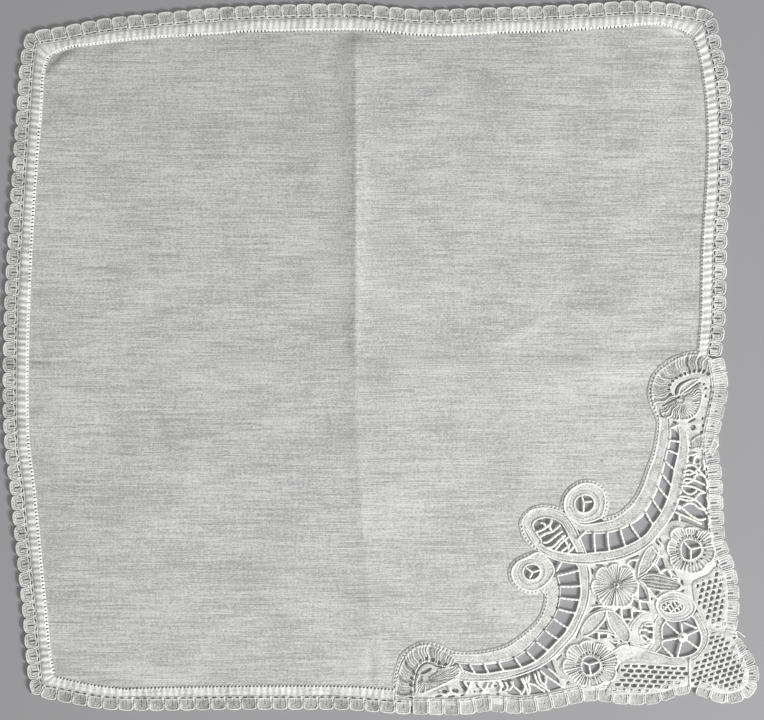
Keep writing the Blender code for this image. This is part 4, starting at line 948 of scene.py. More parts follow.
tape_skin = cover_material("tape_thread", THREAD_DARK, (0.93, 0.93, 0.90, 1.0), 34.0, 0.00014,
                           0.45)
ground_skin = cover_material("ground_thread", (0.17, 0.17, 0.167, 1.0),
                             (0.92, 0.92, 0.885, 1.0), 34.0, 0.00012, 0.6)
upper = new_work()
add_tape(upper, UPPER_INNER, UPPER_IN_GAP, 31)
add_tape(upper, UPPER_OUT_GAP, UPPER_OUTER, 32)
add_bars(upper, UPPER_BARS)
tape_piece("scroll_tapes_upper", upper, "scroll_upper")
lower = new_work()
add_tape(lower, LOWER_INNER, LOWER_IN_GAP, 33)
add_tape(lower, LOWER_OUT_GAP, LOWER_OUTER, 34)
add_bars(lower, LOWER_BARS)
tape_piece("scroll_tapes_lower", lower, "scroll_lower")

# Spirals at the scrolls' inner ends. A laid tape is coiled on itself round a small hole with
# three short bars, so a groove winds outward and fine rays cross it.
SPIRAL_ONE = [
    (83.6, -60.2), (85.1, -57), (85.5, -53), (84.4, -49.6), (81.5, -47.3), (78, -46.6),
    (74, -47.9), (70.8, -50.8), (69.3, -54.5), (70, -58.4), (73, -61.2), (78, -62.2)]
SPIRAL_TWO = [
    (60, -73), (56, -74.6), (52, -76.6), (49.6, -79.6), (49.6, -83), (51.6, -86), (55, -87.9),
    (58.6, -88), (62.4, -86), (65.6, -82), (66, -79.4), (63.6, -75.6)]


def polar(centre, line, count):
    """Points of a closed line seen from a centre, at even angles."""
    points = smooth(line, 6, True) - centre
    angle = np.unwrap(np.arctan2(points[:, 1], points[:, 0]))
    if angle[-1] < angle[0]:
        angle, points = angle[::-1], points[::-1]
    far = np.hypot(*points.T)
    turn = np.linspace(0.0, TURN, count + 1)
    reach = np.interp(np.mod(turn - angle[0], TURN) + angle[0],
                      np.append(angle, angle[0] + TURN), np.append(far, far[0]))
    return turn, reach


def around(centre, turn, reach):
    """Points at angles and reaches from a centre."""
    return np.column_stack([centre[0] + reach * np.cos(turn), centre[1] + reach * np.sin(turn)])


def add_legs(work, centre, ends, z=0.7, radius=0.4):
    """Short straight bars from one knot."""
    add_plaits(work, [(centre, end) for end in ends], radius, z, 0.12, rounding=8)


def spiral_work(centre, outline, hole, groove_at, legs, seed):
    """Coiled tape between a round hole and an outline, with its groove and short bars."""
    random = np.random.default_rng(seed)
    count, rows = 84, 16
    turn, reach = polar(centre, outline, count)
    near = hole * (1.0 + 0.05 * np.sin(2.0 * turn + 1.0))
    inner, outer = around(centre, turn, near), around(centre, turn, reach)
    run, a, b = grid_of(inner, outer, rows)
    coil = np.mod(turn[:, None] / TURN + 0.25, 1.0)
    edge = edge_cords(a, b)
    groove = cord_at(a, groove_at + 0.5 * coil, 0.5)
    line = cord_at(a, groove_at + 0.5 * coil + 0.55, 0.7)
    rough = uneven_threads(random, a, True)
    groove[-1], line[-1] = groove[0], line[0]
    rays = 0.5 + 0.5 * np.cos(30.0 * turn[:, None] + 1.2 * np.sin(3.0 * turn[:, None]) + a)
    height = 0.55 + 0.32 * edge - 0.10 * groove + 0.08 * line + 0.06 * rays + 0.03 * rough
    cover = 0.62 + 0.40 * edge - 0.28 * groove + 0.12 * line + 0.14 * rays + 0.07 * rough
    work = new_work()
    add_strip(work, inner, outer, rows, height, cover, closed=True)
    add_legs(work, legs[0], legs[1:])
    return work


tape_piece("spiral_coil_upper", spiral_work(
    (77.3, -54.8), SPIRAL_ONE, 3.3, 1.9,
    [(77, -54.2), (76.1, -51.4), (80.3, -53.9), (76.9, -58)], 41), "spiral_upper")
tape_piece("spiral_coil_lower", spiral_work(
    (57.2, -80.7), SPIRAL_TWO, 2.9, 1.7,
    [(57.6, -80.9), (54.8, -78.9), (61, -79.7), (56.4, -83.2)], 42), "spiral_lower")

# Shell leaf between the scrolls. A laid tape is bent like a shell from one scroll to the other,
# and slanting plaits cross its opening.
SHELL_OUT = [
    (59.6, -72), (57.1, -68.9), (55.4, -65.9), (53.5, -63), (53.4, -60.9), (55.4, -58.2),
    (57.6, -56.5), (60, -56.1), (62.9, -56), (65.7, -56.6), (69.1, -57.9), (71.8, -60.4),
    (74, -63.6), (76, -68), (78.2, -73.4)]
SHELL_IN = [
    (61.4, -69.4), (60.8, -67.8), (59.4, -65.7), (58.2, -64), (58.1, -62.6), (59, -61.4),
    (60.6, -60.7), (62.3, -60.3), (64.6, -60.5), (66.9, -61.3), (68.9, -62.9), (70.4, -65.6),
    (71.8, -68.6), (73.2, -71), (74.2, -73.2)]
SHELL_BARS = [
    [(58.6, -65.6), (61.5, -64.6), (64.4, -62.3), (64.7, -60.6)], [(60.3, -67.4), (62.4, -66.2),
    (65.2, -65.3), (68.2, -62.8)], [(61.4, -69.6), (63.6, -69.2), (66.6, -66.8), (69, -65.2)],
    [(62.6, -71.4), (65.2, -71.2), (67.8, -68.6), (70.2, -66.6)], [(66.2, -72.4), (68.5, -69.6),
    (69.6, -68.8), (71.2, -67.4)], [(68.4, -73), (70.8, -71.2), (72, -69.8)], [(70.8, -73.4),
    (72.6, -72), (73.4, -70.8)], [(60.4, -62), (61.9, -62.4), (62.8, -64.2)], [(64.3, -62.6),
    (64.2, -64.2), (65.6, -65.6)], [(68.8, -66.6), (69.2, -68.2), (70.4, -69.6), (71.4, -72.4)]]
shell = new_work()
add_tape(shell, SHELL_IN, SHELL_OUT, 43)
add_plaits(shell, SHELL_BARS, 0.5, 0.7)
tape_piece("shell_leaf_tape", shell, "shell_leaf")

# Flowers. The middle one is closed, drawn in at its centre; the other two have an open eye
# with three bars and a ring of pin holes round it. Every petal is ribbed and corded.
MIDDLE_LOBES = [(-5, 8.6), (47, 8.2), (92, 8.2), (141, 9.2), (186, 9.8), (232, 9.2), (300, 9.2)]
SIDE_LOBES = [(-8, 9.6), (38, 9.4), (88, 8.6), (128, 10.2), (178, 9.2), (222, 9.6), (281, 9.4)]
LOW_LOBES = [
    (14, 11), (56, 9.4), (98, 9.8), (140, 10.8), (186, 10.8), (232, 8.6), (290, 8.4), (336, 10.6)]


def flower_work(centre, eye, lobes, dent, ridges, seed, pin_ring=None, legs=(), slits=False):
    """Petals given as (bearing in degrees, reach); the petals meet halfway between them."""
    random = np.random.default_rng(seed)
    bearing = np.radians([p[0] for p in lobes])
    reach = np.array([p[1] for p in lobes], dtype=float)
    cells, rows = 30, 18
    ends = np.append(bearing, bearing[0] + TURN)
    mids = 0.5 * (ends[:-1] + ends[1:])
    starts = np.insert(mids[:-1], 0, mids[-1] - TURN)
    turn, phase, far = [], [], []
    for k in range(len(lobes)):
        p = np.arange(cells) / cells
        turn.append(starts[k] + (mids[k] - starts[k]) * p)
        phase.append(p)
        swell = 1.0 - np.abs(2.0 * p - 1.0) ** 2.6
        low = 0.5 * (reach[k] + np.where(p < 0.5, reach[k - 1], reach[(k + 1) % len(lobes)]))
        blend = np.abs(2.0 * p - 1.0) ** 2
        far.append(reach[k] * (1 - blend) + low * blend - dent * (1.0 - swell))
    turn = np.append(np.concatenate(turn), mids[-1])
    phase = np.append(np.concatenate(phase), 0.0)[:, None]
    far = np.append(np.concatenate(far), far[0][0])
    inner = around(centre, turn, eye * (1.0 + 0.06 * np.cos(3.0 * turn)))
    outer = around(centre, turn, far)
    run, a, b = grid_of(inner, outer, rows)
    p = phase + 0.0 * a
    side = np.minimum(p, 1.0 - p)
    out = a / (a + b)
    petal_rim = np.maximum(cord_at(b, 0.3, 0.9), cord_at(side, 0.075, 0.09) * (out > 0.3))
    split = cord_at(side, 0.0, 0.06) * (out > 0.2)
    eye_cord = cord_at(a, 0.3, 0.9)
    sway = 0.25 * np.sin(TURN * p + turn[:, None] * 2.0) * out
    which = np.clip(((p + 0.04 * sway) * ridges).astype(int), 0, ridges - 1)
    petal = np.minimum(np.arange(len(turn)) // cells, len(lobes) - 1)[:, None]
    strength = random.uniform(0.35, 1.0, (len(lobes), ridges + 1))
    rib = (0.5 - 0.5 * np.cos(TURN * (p * ridges + sway))) * strength[petal, which]
    rough = uneven_threads(random, a, True)
    height = (0.46 + 0.34 * petal_rim + 0.25 * eye_cord + 0.34 * rib - 0.3 * split
              + 0.22 * np.sin(math.pi * p) * out + 0.03 * rough)
    cover = (0.30 + 0.62 * petal_rim + 0.55 * eye_cord + 0.66 * rib - 0.4 * split
             + 0.14 * np.sin(math.pi * p) * out + 0.06 * rough)
    cell = np.arange(len(turn) - 1) % cells
    am = cell_middle(a) + eye
    holes = np.zeros(am.shape, dtype=bool)
    if pin_ring:
        low, high, every, width = pin_ring
        holes |= (am > low) & (am < high) & ((cell % every) < width)[:, None]
    if slits:
        wide = random.uniform(2.3, 3.2, len(turn) - 1)[:, None]
        holes |= (am > 1.15) & (am < wide) & ((cell % 10) == 5)[:, None]
    work = new_work()
    add_strip(work, inner, outer, rows, np.maximum(height, 0.2), cover, holes, True)
    if legs:
        add_legs(work, legs[0], legs[1:])
    return work


tape_piece("petals_middle", flower_work(
    (89.4, -85.7), 0.35, MIDDLE_LOBES, 1.5, 6, 51, slits=True), "flower_middle")
tape_piece("petals_side", flower_work(
    (117.7, -72.2), 3.7, SIDE_LOBES, 1.3, 6, 52, (5.0, 5.8, 10, 3),
    [(117.7, -72.1), (114.8, -69), (121.9, -71.2), (117.7, -76)]), "flower_side")
tape_piece("petals_low", flower_work(
    (79.6, -116.3), 3.3, LOW_LOBES, 1.3, 6, 53, (4.7, 5.4, 10, 3),
    [(79, -116), (76.2, -114.7), (83, -114.9), (79.7, -119.8)]), "flower_low")

# Leaves, each a small cloth-stitch blade with a bright cord round it. Three have a faint vein
# down the middle, and the outer one has lengthwise ribs.
LEAF_SIDES = {
    "leaf_up": (
        [(97.4, -83), (97.6, -79.6), (98.6, -76.4), (100, -73.4), (101.6, -71.4), (103.6, -70.6)],
        [(97.4, -83), (101.2, -80.8), (103.8, -77.6), (105.6, -74.4), (105.6, -72),
         (103.6, -70.6)]),
    "leaf_out": (
        [(97.8, -83.8), (100, -82.1), (103.6, -81.4), (108, -82.4), (112, -83.8), (114, -85.8)],
        [(97.8, -83.8), (100, -86.2), (104, -87.5), (109, -88), (113, -87.6), (114, -85.8)]),
    "leaf_in": (
        [(85.8, -95.2), (82.4, -95.8), (79.2, -97.6), (76.8, -100.6), (75.8, -103.6),
         (76.8, -105.2)],
        [(85.8, -95.2), (85.6, -98), (83.8, -100.8), (81.6, -103.2), (79, -104.8),
         (76.8, -105.2)]),
    "leaf_down": (
        [(85.4, -95), (85.8, -98.4), (86.8, -101.6), (88.8, -104.6), (91.2, -106.8),
         (93.8, -107.4)],
        [(85.4, -95), (88.8, -95.8), (91.8, -98.4), (94.2, -101.8), (95, -105.2),
         (93.8, -107.4)])}


def leaf_work(left, right, ribs, seed):
    """Blade between two lines, with lengthwise ribs or, if it has none, a vein."""
    random = np.random.default_rng(seed)
    rows = 13
    left, right = tape_cells(smooth(left), smooth(right), 0.45)
    run, a, b = grid_of(left, right, rows)
    t = a / np.maximum(a + b, 0.01)
    edge = edge_cords(a, b)
    rib = (0.5 + 0.5 * np.cos(TURN * t * ribs)) if ribs else 0.0
    woven = 0.16 * np.sin(run * TURN / 1.2) * np.sin(a * TURN / 1.1)
    rough = uneven_threads(random, a)
    vein = cord_at(np.abs(t - 0.5), 0.0, 0.16) if not ribs else 0.0
    groove = np.maximum(cord_at(a, 0.9, 0.4), cord_at(b, 0.9, 0.4))
    height = 0.62 + 0.30 * edge + 0.26 * rib + 0.02 * rough - 0.06 * vein - 0.1 * groove
    cover = 0.64 + 0.42 * edge + 0.6 * rib + 0.07 * rough - 0.12 * vein - (0.56 if ribs else 0.0)
    cover = cover - 0.3 * groove + woven * (1.0 - edge)
    work = new_work()
    add_strip(work, left, right, rows, height, cover)
    return work


for k, (leaf, (left, right)) in enumerate(LEAF_SIDES.items()):
    blade = leaf_work(left, right, 4 if leaf == "leaf_out" else 0, 61 + k)
    tape_piece(leaf + "_blade", blade, leaf)

# Rosettes, where the lace corner meets the hems: a broad ribbed fan round a row of pin holes,
# with a second small fan inside it.
ROSE_UP_OUT = [
    (104.4, -18.6), (103.2, -16.4), (102.6, -12.6), (103.2, -8.4), (105.2, -4.6), (108.6, -1.9),
    (112.2, 0.4), (116.4, 1.9), (120.4, 2.2), (124.2, 1.2), (127.8, -1), (130, -3.6)]
ROSE_UP_IN = [
    (112.3, -14.4), (111.4, -13.6), (110.9, -12.6), (110.4, -10.9), (111, -9.4), (112.4, -8),
    (114.2, -7), (116.3, -6.2), (118.4, -5.6), (120.4, -5.2), (122, -5.6), (123.4, -6.4),
    (124.4, -7.4)]
ROSE_TONGUE = (
    [(112.9, -13.4), (113.3, -11), (115.1, -9), (118, -7.7), (121.2, -7)], [(114, -13.4),
    (115.5, -12.2), (117.7, -10.6), (119.8, -9), (121.6, -7.5)])
ROSE_UP_FAN = [
    (106.2, -19.4), (107.2, -21.6), (110.4, -22.9), (113.8, -23.2), (117, -22.9), (119.8, -21.2),
    (121.4, -18.4), (122.2, -14.8), (122.2, -11.8), (120.8, -9.8)]
ROSE_LOW_OUT = [
    (5.4, -129.4), (5.2, -126.5), (5.4, -123.6), (6.1, -120.6), (6.9, -117.8), (8.2, -114.6),
    (10.2, -111.4), (13, -109.2), (16.4, -108.2), (19.7, -108.6), (23.2, -110), (26.4, -112),
    (29, -114.8)]
ROSE_LOW_IN = [
    (12.6, -129.2), (12.4, -126.8), (12.4, -124.6), (12.6, -122.4), (13, -120.4), (13.6, -118.4),
    (14.6, -116.6), (16.2, -115.3), (17.8, -114.9), (19.6, -115.3), (21.2, -116.2), (22.8, -116.6),
    (25.6, -117.2)]
ROSE_LOW_FAN = [
    (14.5, -119.6), (13.5, -121.6), (13.2, -124), (13.4, -126.6), (15, -127.2), (17.6, -126.4),
    (21.4, -124.6), (25.6, -122.6), (28.6, -120.8), (30.2, -118.8), (30, -117), (27.4, -116.6),
    (24.4, -117.2), (21.8, -117.8)]


def turned(x, y, u, v, bearing):
    """Place at u along and v across a bearing from x, y."""
    c, s = math.cos(math.radians(bearing)), math.sin(math.radians(bearing))
    return x + u * c - v * s, y + u * s + v * c


def oval(x, y, long, wide, bearing, count=10):
    """Outline of a gap: place, length, width, bearing."""
    turn = np.linspace(0.0, TURN, count + 1)[:-1]
    u, v = 0.5 * long * np.cos(turn), 0.5 * wide * np.sin(turn)
    return np.column_stack(turned(x, y, u, v, bearing))


def add_plate(work, outline, gaps, z, thick, edge, cover):
    """Thin cut-out with rounded edges, from a filled curve."""
    curve = bpy.data.curves.new("cut", "CURVE")
    curve.dimensions = "2D"
    curve.fill_mode = "BOTH"
    curve.extrude = max(0.5 * thick - edge, 0.01) * MM
    curve.bevel_depth = edge * MM
    curve.bevel_resolution = 1
    curve.offset = -edge * MM
    for points in [outline] + list(gaps):
        spline = curve.splines.new("POLY")
        spline.points.add(len(points) - 1)
        for k, point in enumerate(points):
            spline.points[k].co = ((point[0] + SHIFT[0]) * MM, (point[1] + SHIFT[1]) * MM,
                                   0.0, 1.0)
        spline.use_cyclic_u = True
    holder = bpy.data.objects.new("cut", curve)
    bpy.context.scene.collection.objects.link(holder)
    bpy.context.view_layer.update()
    graph = bpy.context.evaluated_depsgraph_get()
    mesh = bpy.data.meshes.new_from_object(holder.evaluated_get(graph))
    bpy.data.objects.remove(holder, do_unlink=True)
    bpy.data.curves.remove(curve)
    part = bmesh.new()
    part.from_mesh(mesh)
    bmesh.ops.remove_doubles(part, verts=part.verts, dist=0.000004)
    bmesh.ops.recalc_face_normals(part, faces=part.faces)
    bmesh.ops.translate(part, verts=part.verts, vec=(0.0, 0.0, z * MM))
    layer = part.verts.layers.float.new("cover")
    coords = part.loops.layers.uv.get("cloth") or part.loops.layers.uv.new("cloth")
    # Painted shade: the rims and underside get less cover, so they are darker than the top.
    for vert in part.verts:
        vert[layer] = cover if vert.co.z < (z + 0.3 * thick) * MM else cover + 0.1
    for face in part.faces:
        for loop in face.loops:
            loop[coords].uv = (loop.vert.co.x * 100.0, loop.vert.co.y * 100.0)
    part.to_mesh(mesh)
    part.free()
    work.from_mesh(mesh)
    bpy.data.meshes.remove(mesh)


def add_fan(work, inner, outer, ribs, seed, pins=0.0, rows=15, step=0.3, base=0.5, deep=1.0):
    """Ribbed fan between two lines, with pin holes close to its inner line."""
    random = np.random.default_rng(seed)
    inner, outer = tape_cells(smooth(inner), smooth(outer), step)
    run, a, b = grid_of(inner, outer, rows)
    slow = np.cumsum(random.uniform(0.7, 1.3, len(inner)))
    slow = (slow / slow[-1])[:, None] + 0.012 * deep * np.sin(a * (0.4 + 0.7 * deep) + 3.0)
    strength = random.uniform(0.25, 1.0, ribs + 3)
    which = np.clip((slow * ribs).astype(int), 0, ribs + 2)
    rib = (0.5 - 0.5 * np.cos(TURN * slow * ribs)) * strength[which]
    major = cord_at(np.mod(slow * ribs / 5.0, 1.0), 0.5, 0.1)
    edge = np.maximum(cord_at(b, 0.3, 0.9), cord_at(a, 0.3, 0.8))
    rough = uneven_threads(random, a)
    height = base + 0.30 * rib * deep + 0.28 * edge - 0.28 * major + 0.035 * rough
    cover = 0.48 - 0.14 * deep + 0.58 * rib * deep + 0.45 * edge - 0.5 * major + 0.08 * rough
    holes = None
    if pins:
        am = cell_middle(a)
        every = np.mod(np.linspace(0.0, pins, len(inner) - 1), 1.0)
        holes = (am > 0.55) & (am < 1.7) & (every < 0.4)[:, None]
    add_strip(work, inner, outer, rows, height, cover, holes)


def around_point(centre, line, near):
    """Short line close to a centre that faces a longer one."""
    line = np.array(line, dtype=float)
    way = line - centre
    way /= np.hypot(*way.T)[:, None]
    return [tuple(p) for p in np.array(centre) + way * near]


ROSE_UP_BACK = [
    (105, -19.8), (104.6, -17.4), (107.6, -16.6), (111.2, -14.4), (110.8, -12.8), (110.2, -10.9),
    (110.9, -9.1), (112.5, -7.6), (116.3, -5.8), (120.4, -4.8), (124.8, -6), (129.2, -3.6),
    (128.8, -9), (128, -15), (126.6, -20.4), (123, -20), (120.2, -21.6), (116, -23.4),
    (110.6, -23)]
ROSE_UP_SLITS = [
    [(111.7, -13.4), (111.6, -12), (112.2, -10.2), (113.6, -8.8), (115.6, -7.9), (118, -7.1),
    (118, -7.5), (115.6, -8.7), (114, -9.6), (112.9, -11), (112.5, -12.2), (112.4, -13.4)],
    [(114.6, -13), (117.5, -10.9), (120.4, -8.8), (121, -8.8), (119, -10.6), (116.8, -12.1)],
    [(106.7, -17.2), (110, -15.6), (113.2, -13.9), (113.9, -14), (113, -14.8), (109.8, -16.6),
    (107, -17.9)]]
ROSE_UP_PINS = [
    (121, -9, 1.1, 0.9, 20), (122.7, -9.3, 1, 0.8, 20), (125.5, -10.2, 1.2, 1, 30),
    (123.4, -10.9, 1.3, 0.8, 35), (125.7, -12.4, 1, 1, 0), (123.4, -13.9, 0.8, 1.3, 0),
    (125.3, -15, 1, 1.4, -25), (124.9, -17.3, 0.9, 1.4, -35), (123.2, -22.6, 0.8, 1.2, 0),
    (124.8, -19.6, 0.9, 1.2, 0), (113.4, -14.2, 1.5, 0.7, 30), (115.4, -16.4, 1.6, 0.6, 20)]
ROSE_LOW_BACK = [
    (12.4, -129.6), (12.7, -126), (12.9, -122.6), (13.5, -120.2), (14.2, -118.6), (15.1, -117.2),
    (16.5, -116), (17.9, -115.6), (19.4, -116), (21, -116.9), (25.6, -117.6), (30, -115.2),
    (31.4, -119), (29.4, -121.6), (26, -123.4), (20, -126), (14, -129.4)]
ROSE_LOW_PINS = [
    (17.2, -118.4, 5, 1.5, 27), (21.7, -118.6, 1.3, 0.6, -30), (24.5, -119.3, 1.6, 0.6, -12),
    (21.6, -120.7, 1.5, 0.5, -25)]
rose = new_work()
add_plate(rose, ROSE_UP_BACK, ROSE_UP_SLITS + [oval(*g) for g in ROSE_UP_PINS], 0.32,
          0.24, 0.08, 0.6)
add_fan(rose, ROSE_UP_IN, ROSE_UP_OUT, 36, 71, pins=13.0, step=0.17)
add_tape(rose, ROSE_TONGUE[1], ROSE_TONGUE[0], 72, step=0.4, rows=9, second=False)
add_fan(rose, around_point((114, -15.2), ROSE_UP_FAN, 1.4), ROSE_UP_FAN, 22, 73, rows=19,
        step=0.13, base=0.45, deep=1.5)
tape_piece("rosette_fans_upper", rose, "rosette_upper")
rose = new_work()
add_plate(rose, ROSE_LOW_BACK, [oval(*g) for g in ROSE_LOW_PINS], 0.32, 0.24, 0.08, 0.6)
add_fan(rose, ROSE_LOW_IN, ROSE_LOW_OUT, 32, 74, pins=11.0, step=0.17)
add_fan(rose, around_point((17.4, -121.6), ROSE_LOW_FAN, 1.2), ROSE_LOW_FAN, 27, 75,
        rows=19, step=0.13, base=0.45, deep=1.2)
tape_piece("rosette_fans_lower", rose, "rosette_lower")

# Eye ring, web ring and small scroll, coiled into one another low in the corner. The eye is
# crossed by thin bars, the ring holds a web on six legs, and plaits cross the scroll.
EYE_OUT = [
    (104.4, -94), (105, -91.2), (107, -89.2), (111, -88), (115, -88.9), (118.4, -91.2),
    (119.7, -94.2), (118.8, -96.6), (116.4, -98.6), (113, -99.6), (109.4, -99.4), (106.2, -97.4)]
EYE_MIDDLE = (110.7, -94)
EYE_BARS = [
    ((107, -93.6), (108.4, -95.2)), ((107.8, -92.4), (110.2, -95.8)), ((109.2, -91.8), (112, -96)),
    ((111, -91.8), (113.4, -95.4)), ((112.8, -92.2), (114.4, -94.6)), ((107.2, -95), (110.6, -92)),
    ((109.6, -96.2), (114.2, -92.8))]
WEB_LEFT = (
    [(108.8, -99.2), (107.2, -101.4), (107, -104), (107.3, -107), (106.7, -109.2),
    (104.8, -111.3)], [(105.2, -97.6), (103.9, -99.8), (103.2, -103), (103.1, -106.4),
    (102.4, -109), (100.6, -110.8)])
WEB_ROUND = (
    [(88.6, -110.2), (91.4, -108.9), (95.6, -108.6), (100, -109.8), (104.8, -111.3), (107, -112),
    (110, -113), (113.5, -113), (117, -112.3), (119.5, -111), (121, -108.5), (121.5, -105.5),
    (120.5, -102.5), (119, -99), (117.6, -97.6)], [(88.4, -114.8), (92, -116), (96, -115.6),
    (100, -115.2), (104, -115.6), (108, -116.6), (112, -117), (116, -115.9), (119.8, -114),
    (122.6, -111), (124.5, -107.4), (124.7, -103.4), (123.3, -99.6), (120.8, -95.4)])
WEB_HUB = (114.6, -105.5)
WEB_ENDS = [
    (107.6, -99.4), (114, -100), (120.6, -102.8), (120.8, -110), (112.5, -113.2), (106.9, -106.9)]
CURL_OUT = [
    (104.8, -97.4), (102.4, -95.9), (99.6, -95.9), (97, -98), (94.6, -101), (94.1, -104),
    (94.8, -107.2), (97.4, -109), (100.4, -108.8), (103, -108)]
CURL_IN = [
    (103.7, -100.6), (101.8, -100.2), (100.2, -100.8), (99, -102.2), (98.5, -103.6),
    (98.7, -105.2), (99.4, -106.3), (100.5, -107), (101.6, -107.3), (103, -107)]
eye_piece = new_work()
turn, reach = polar(EYE_MIDDLE, EYE_OUT, 72)
inner = around((0, 0), turn, 1.0 + 0.0 * turn) * (4.1, 2.1) + EYE_MIDDLE
outer = around(EYE_MIDDLE, turn, reach)
run, a, b = grid_of(inner, outer, 15)
edge = np.maximum(cord_at(a, 0.3, 0.8), cord_at(b, 0.3, 0.9))
lines = 0.5 + 0.5 * np.cos(TURN * a / (a + b) * 3.0)
rough = uneven_threads(np.random.default_rng(81), a, True)
add_strip(eye_piece, inner, outer, 15, 0.55 + 0.26 * edge + 0.14 * lines + 0.03 * rough,
          0.5 + 0.45 * edge + 0.3 * lines + 0.06 * rough, closed=True)
for start, end in EYE_BARS:
    add_cord(eye_piece, smooth([start, end], 8), 0.36, 0.7, step=0.3)
tape_piece("eye_ring_tape", eye_piece, "eye_ring")

web = new_work()
add_tape(web, WEB_LEFT[0], WEB_LEFT[1], 82, second=False)
add_tape(web, WEB_ROUND[0], WEB_ROUND[1], 83)
add_legs(web, WEB_HUB, WEB_ENDS, 0.75, 0.42)
add_plaits(web, (((114.8, -99.8), (120.2, -102.2)), ((106.7, -108.8), (111, -113))), 0.45, 0.75,
           0.12, rounding=8)
for k in range(3):
    ring = around(WEB_HUB, np.linspace(0.0, TURN, 15)[:-1], 0.55 + 0.5 * k)
    add_cord(web, ring, 0.42, 1.15 - 0.14 * k, closed=True, step=0.35)
made = bmesh.ops.create_uvsphere(web, u_segments=10, v_segments=6, radius=0.6 * MM)["verts"]
bmesh.ops.translate(web, verts=made, vec=((WEB_HUB[0] + SHIFT[0]) * MM,
                                          (WEB_HUB[1] + SHIFT[1]) * MM, 1.05 * MM))
tape_piece("web_ring_tape", web, "web_ring")

curl = new_work()
add_tape(curl, CURL_IN, CURL_OUT, 84)
add_plaits(curl, ([(98.4, -102.6), (100.4, -102.6), (102, -103.4), (104, -103.4)],
                  [(98.2, -104.8), (100, -104.8), (101.6, -106.2), (103.8, -106.4)],
                  [(99.6, -100.6), (101.4, -101.2), (103.8, -100.8)]), 0.5, 0.65)
tape_piece("small_scroll_tape", curl, "small_scroll")

# Bars and ground between the motifs. A thin plaited web joins them, with three- and four-sided
# gaps, and round cords lie along its main bars.
GROUND_OUT = [
    (79, -77), (84, -77), (90, -75.8), (95, -74.2), (100, -71.4), (104, -68.2), (107.4, -63.8),
    (110.6, -61.4), (115, -61.6), (121, -64), (126.4, -66), (126.6, -70), (127.4, -78.6),
    (124, -82.4), (120.4, -84.5), (119.8, -90), (119.4, -95), (110, -97), (104, -100), (104, -108),
    (98, -112), (92, -115), (88, -120), (86, -125), (79, -126), (69.6, -125), (66.8, -119.4),
    (65.2, -112), (72.2, -105), (75.6, -99.6), (77.6, -94), (79.4, -88), (79.6, -82)]
GROUND_GAPS = [
    [(85.5, -99), (86.3, -102.7), (82.5, -102.5)], [(78.5, -105.2), (82, -103.7), (82.2, -106.5)],
    [(83.2, -104.3), (86, -104.6), (85.5, -106), (83.2, -106)], [(86.6, -104.3), (89, -105),
    (88.5, -106.2)], [(86.3, -106.8), (90, -107.7), (89.2, -109.3)], [(90.8, -106.4),
    (91.9, -106.6), (91.6, -107.5), (90.8, -107.3)], [(93.8, -107.3), (94.8, -107.4),
    (94.7, -108.7), (93.9, -108.6)], [(91.7, -95), (94.7, -94.8), (95, -98), (92, -98.2)],
    [(95.6, -95.8), (98.5, -96), (96, -98.5)], [(92.7, -99), (94.8, -99.1), (93, -101.3)],
    [(88.8, -95.6), (90.8, -94.7), (90.3, -97)], [(96.2, -91), (97.8, -93), (97.5, -94.6),
    (95.2, -93.3)], [(98.5, -92.3), (101, -92.5), (102.3, -95.5), (99.5, -95.2)], [(98.2, -85),
    (100, -87.5), (101.3, -91), (98, -91)], [(102, -87), (106.2, -88.2), (104.5, -89.8)],
    [(102.5, -90.3), (103.6, -90.6), (103, -91.4), (102.5, -91.2)], [(94, -77.5), (95.5, -76.5),
    (97, -76.8), (96.2, -79.7)], [(94.8, -75.3), (97.8, -74.2), (98.1, -74.8), (95.2, -75.8)],
    [(101, -81), (103, -78.2), (105.5, -81.2)], [(106, -75.3), (107, -75.5), (108, -79),
    (106.3, -80), (104.8, -78)], [(104.2, -74.6), (105, -74.8), (104.9, -76.3), (104.1, -76.2)],
    [(107, -81), (108.5, -80.3), (109.8, -82.8)], [(109.8, -80.2), (111.3, -80.2), (112.5, -82.3)],
    [(110.6, -83.4), (112.6, -83.6), (112.6, -84), (110.6, -83.9)], [(113.7, -83), (114.8, -84),
    (115, -86), (113.8, -85)], [(113.5, -88), (115.3, -87.2), (115, -88.5)], [(104, -69.2),
    (106, -67.5), (106.7, -69), (105.5, -70.7)], [(104.7, -72), (105.7, -72.2), (105.6, -73),
    (104.7, -72.9)], [(79.5, -78.7), (81, -80), (80.3, -82)], [(81.6, -77.8), (84.6, -77.9),
    (84.6, -78.3), (81.6, -78.4)], [(81.4, -91.6), (82.6, -92.2), (82.4, -93.1), (81.4, -92.8)],
    [(78.5, -96.7), (81, -94.2), (84.5, -94), (81.5, -95.5)], [(75.3, -102.4), (75.6, -102.8),
    (74.4, -106), (73.9, -105.9)], [(68.5, -112), (68.9, -112.3), (67, -114.4), (66.5, -114.1)],
    [(70.6, -122.4), (71.6, -122.2), (71.6, -123.6), (70.4, -123.7)]]
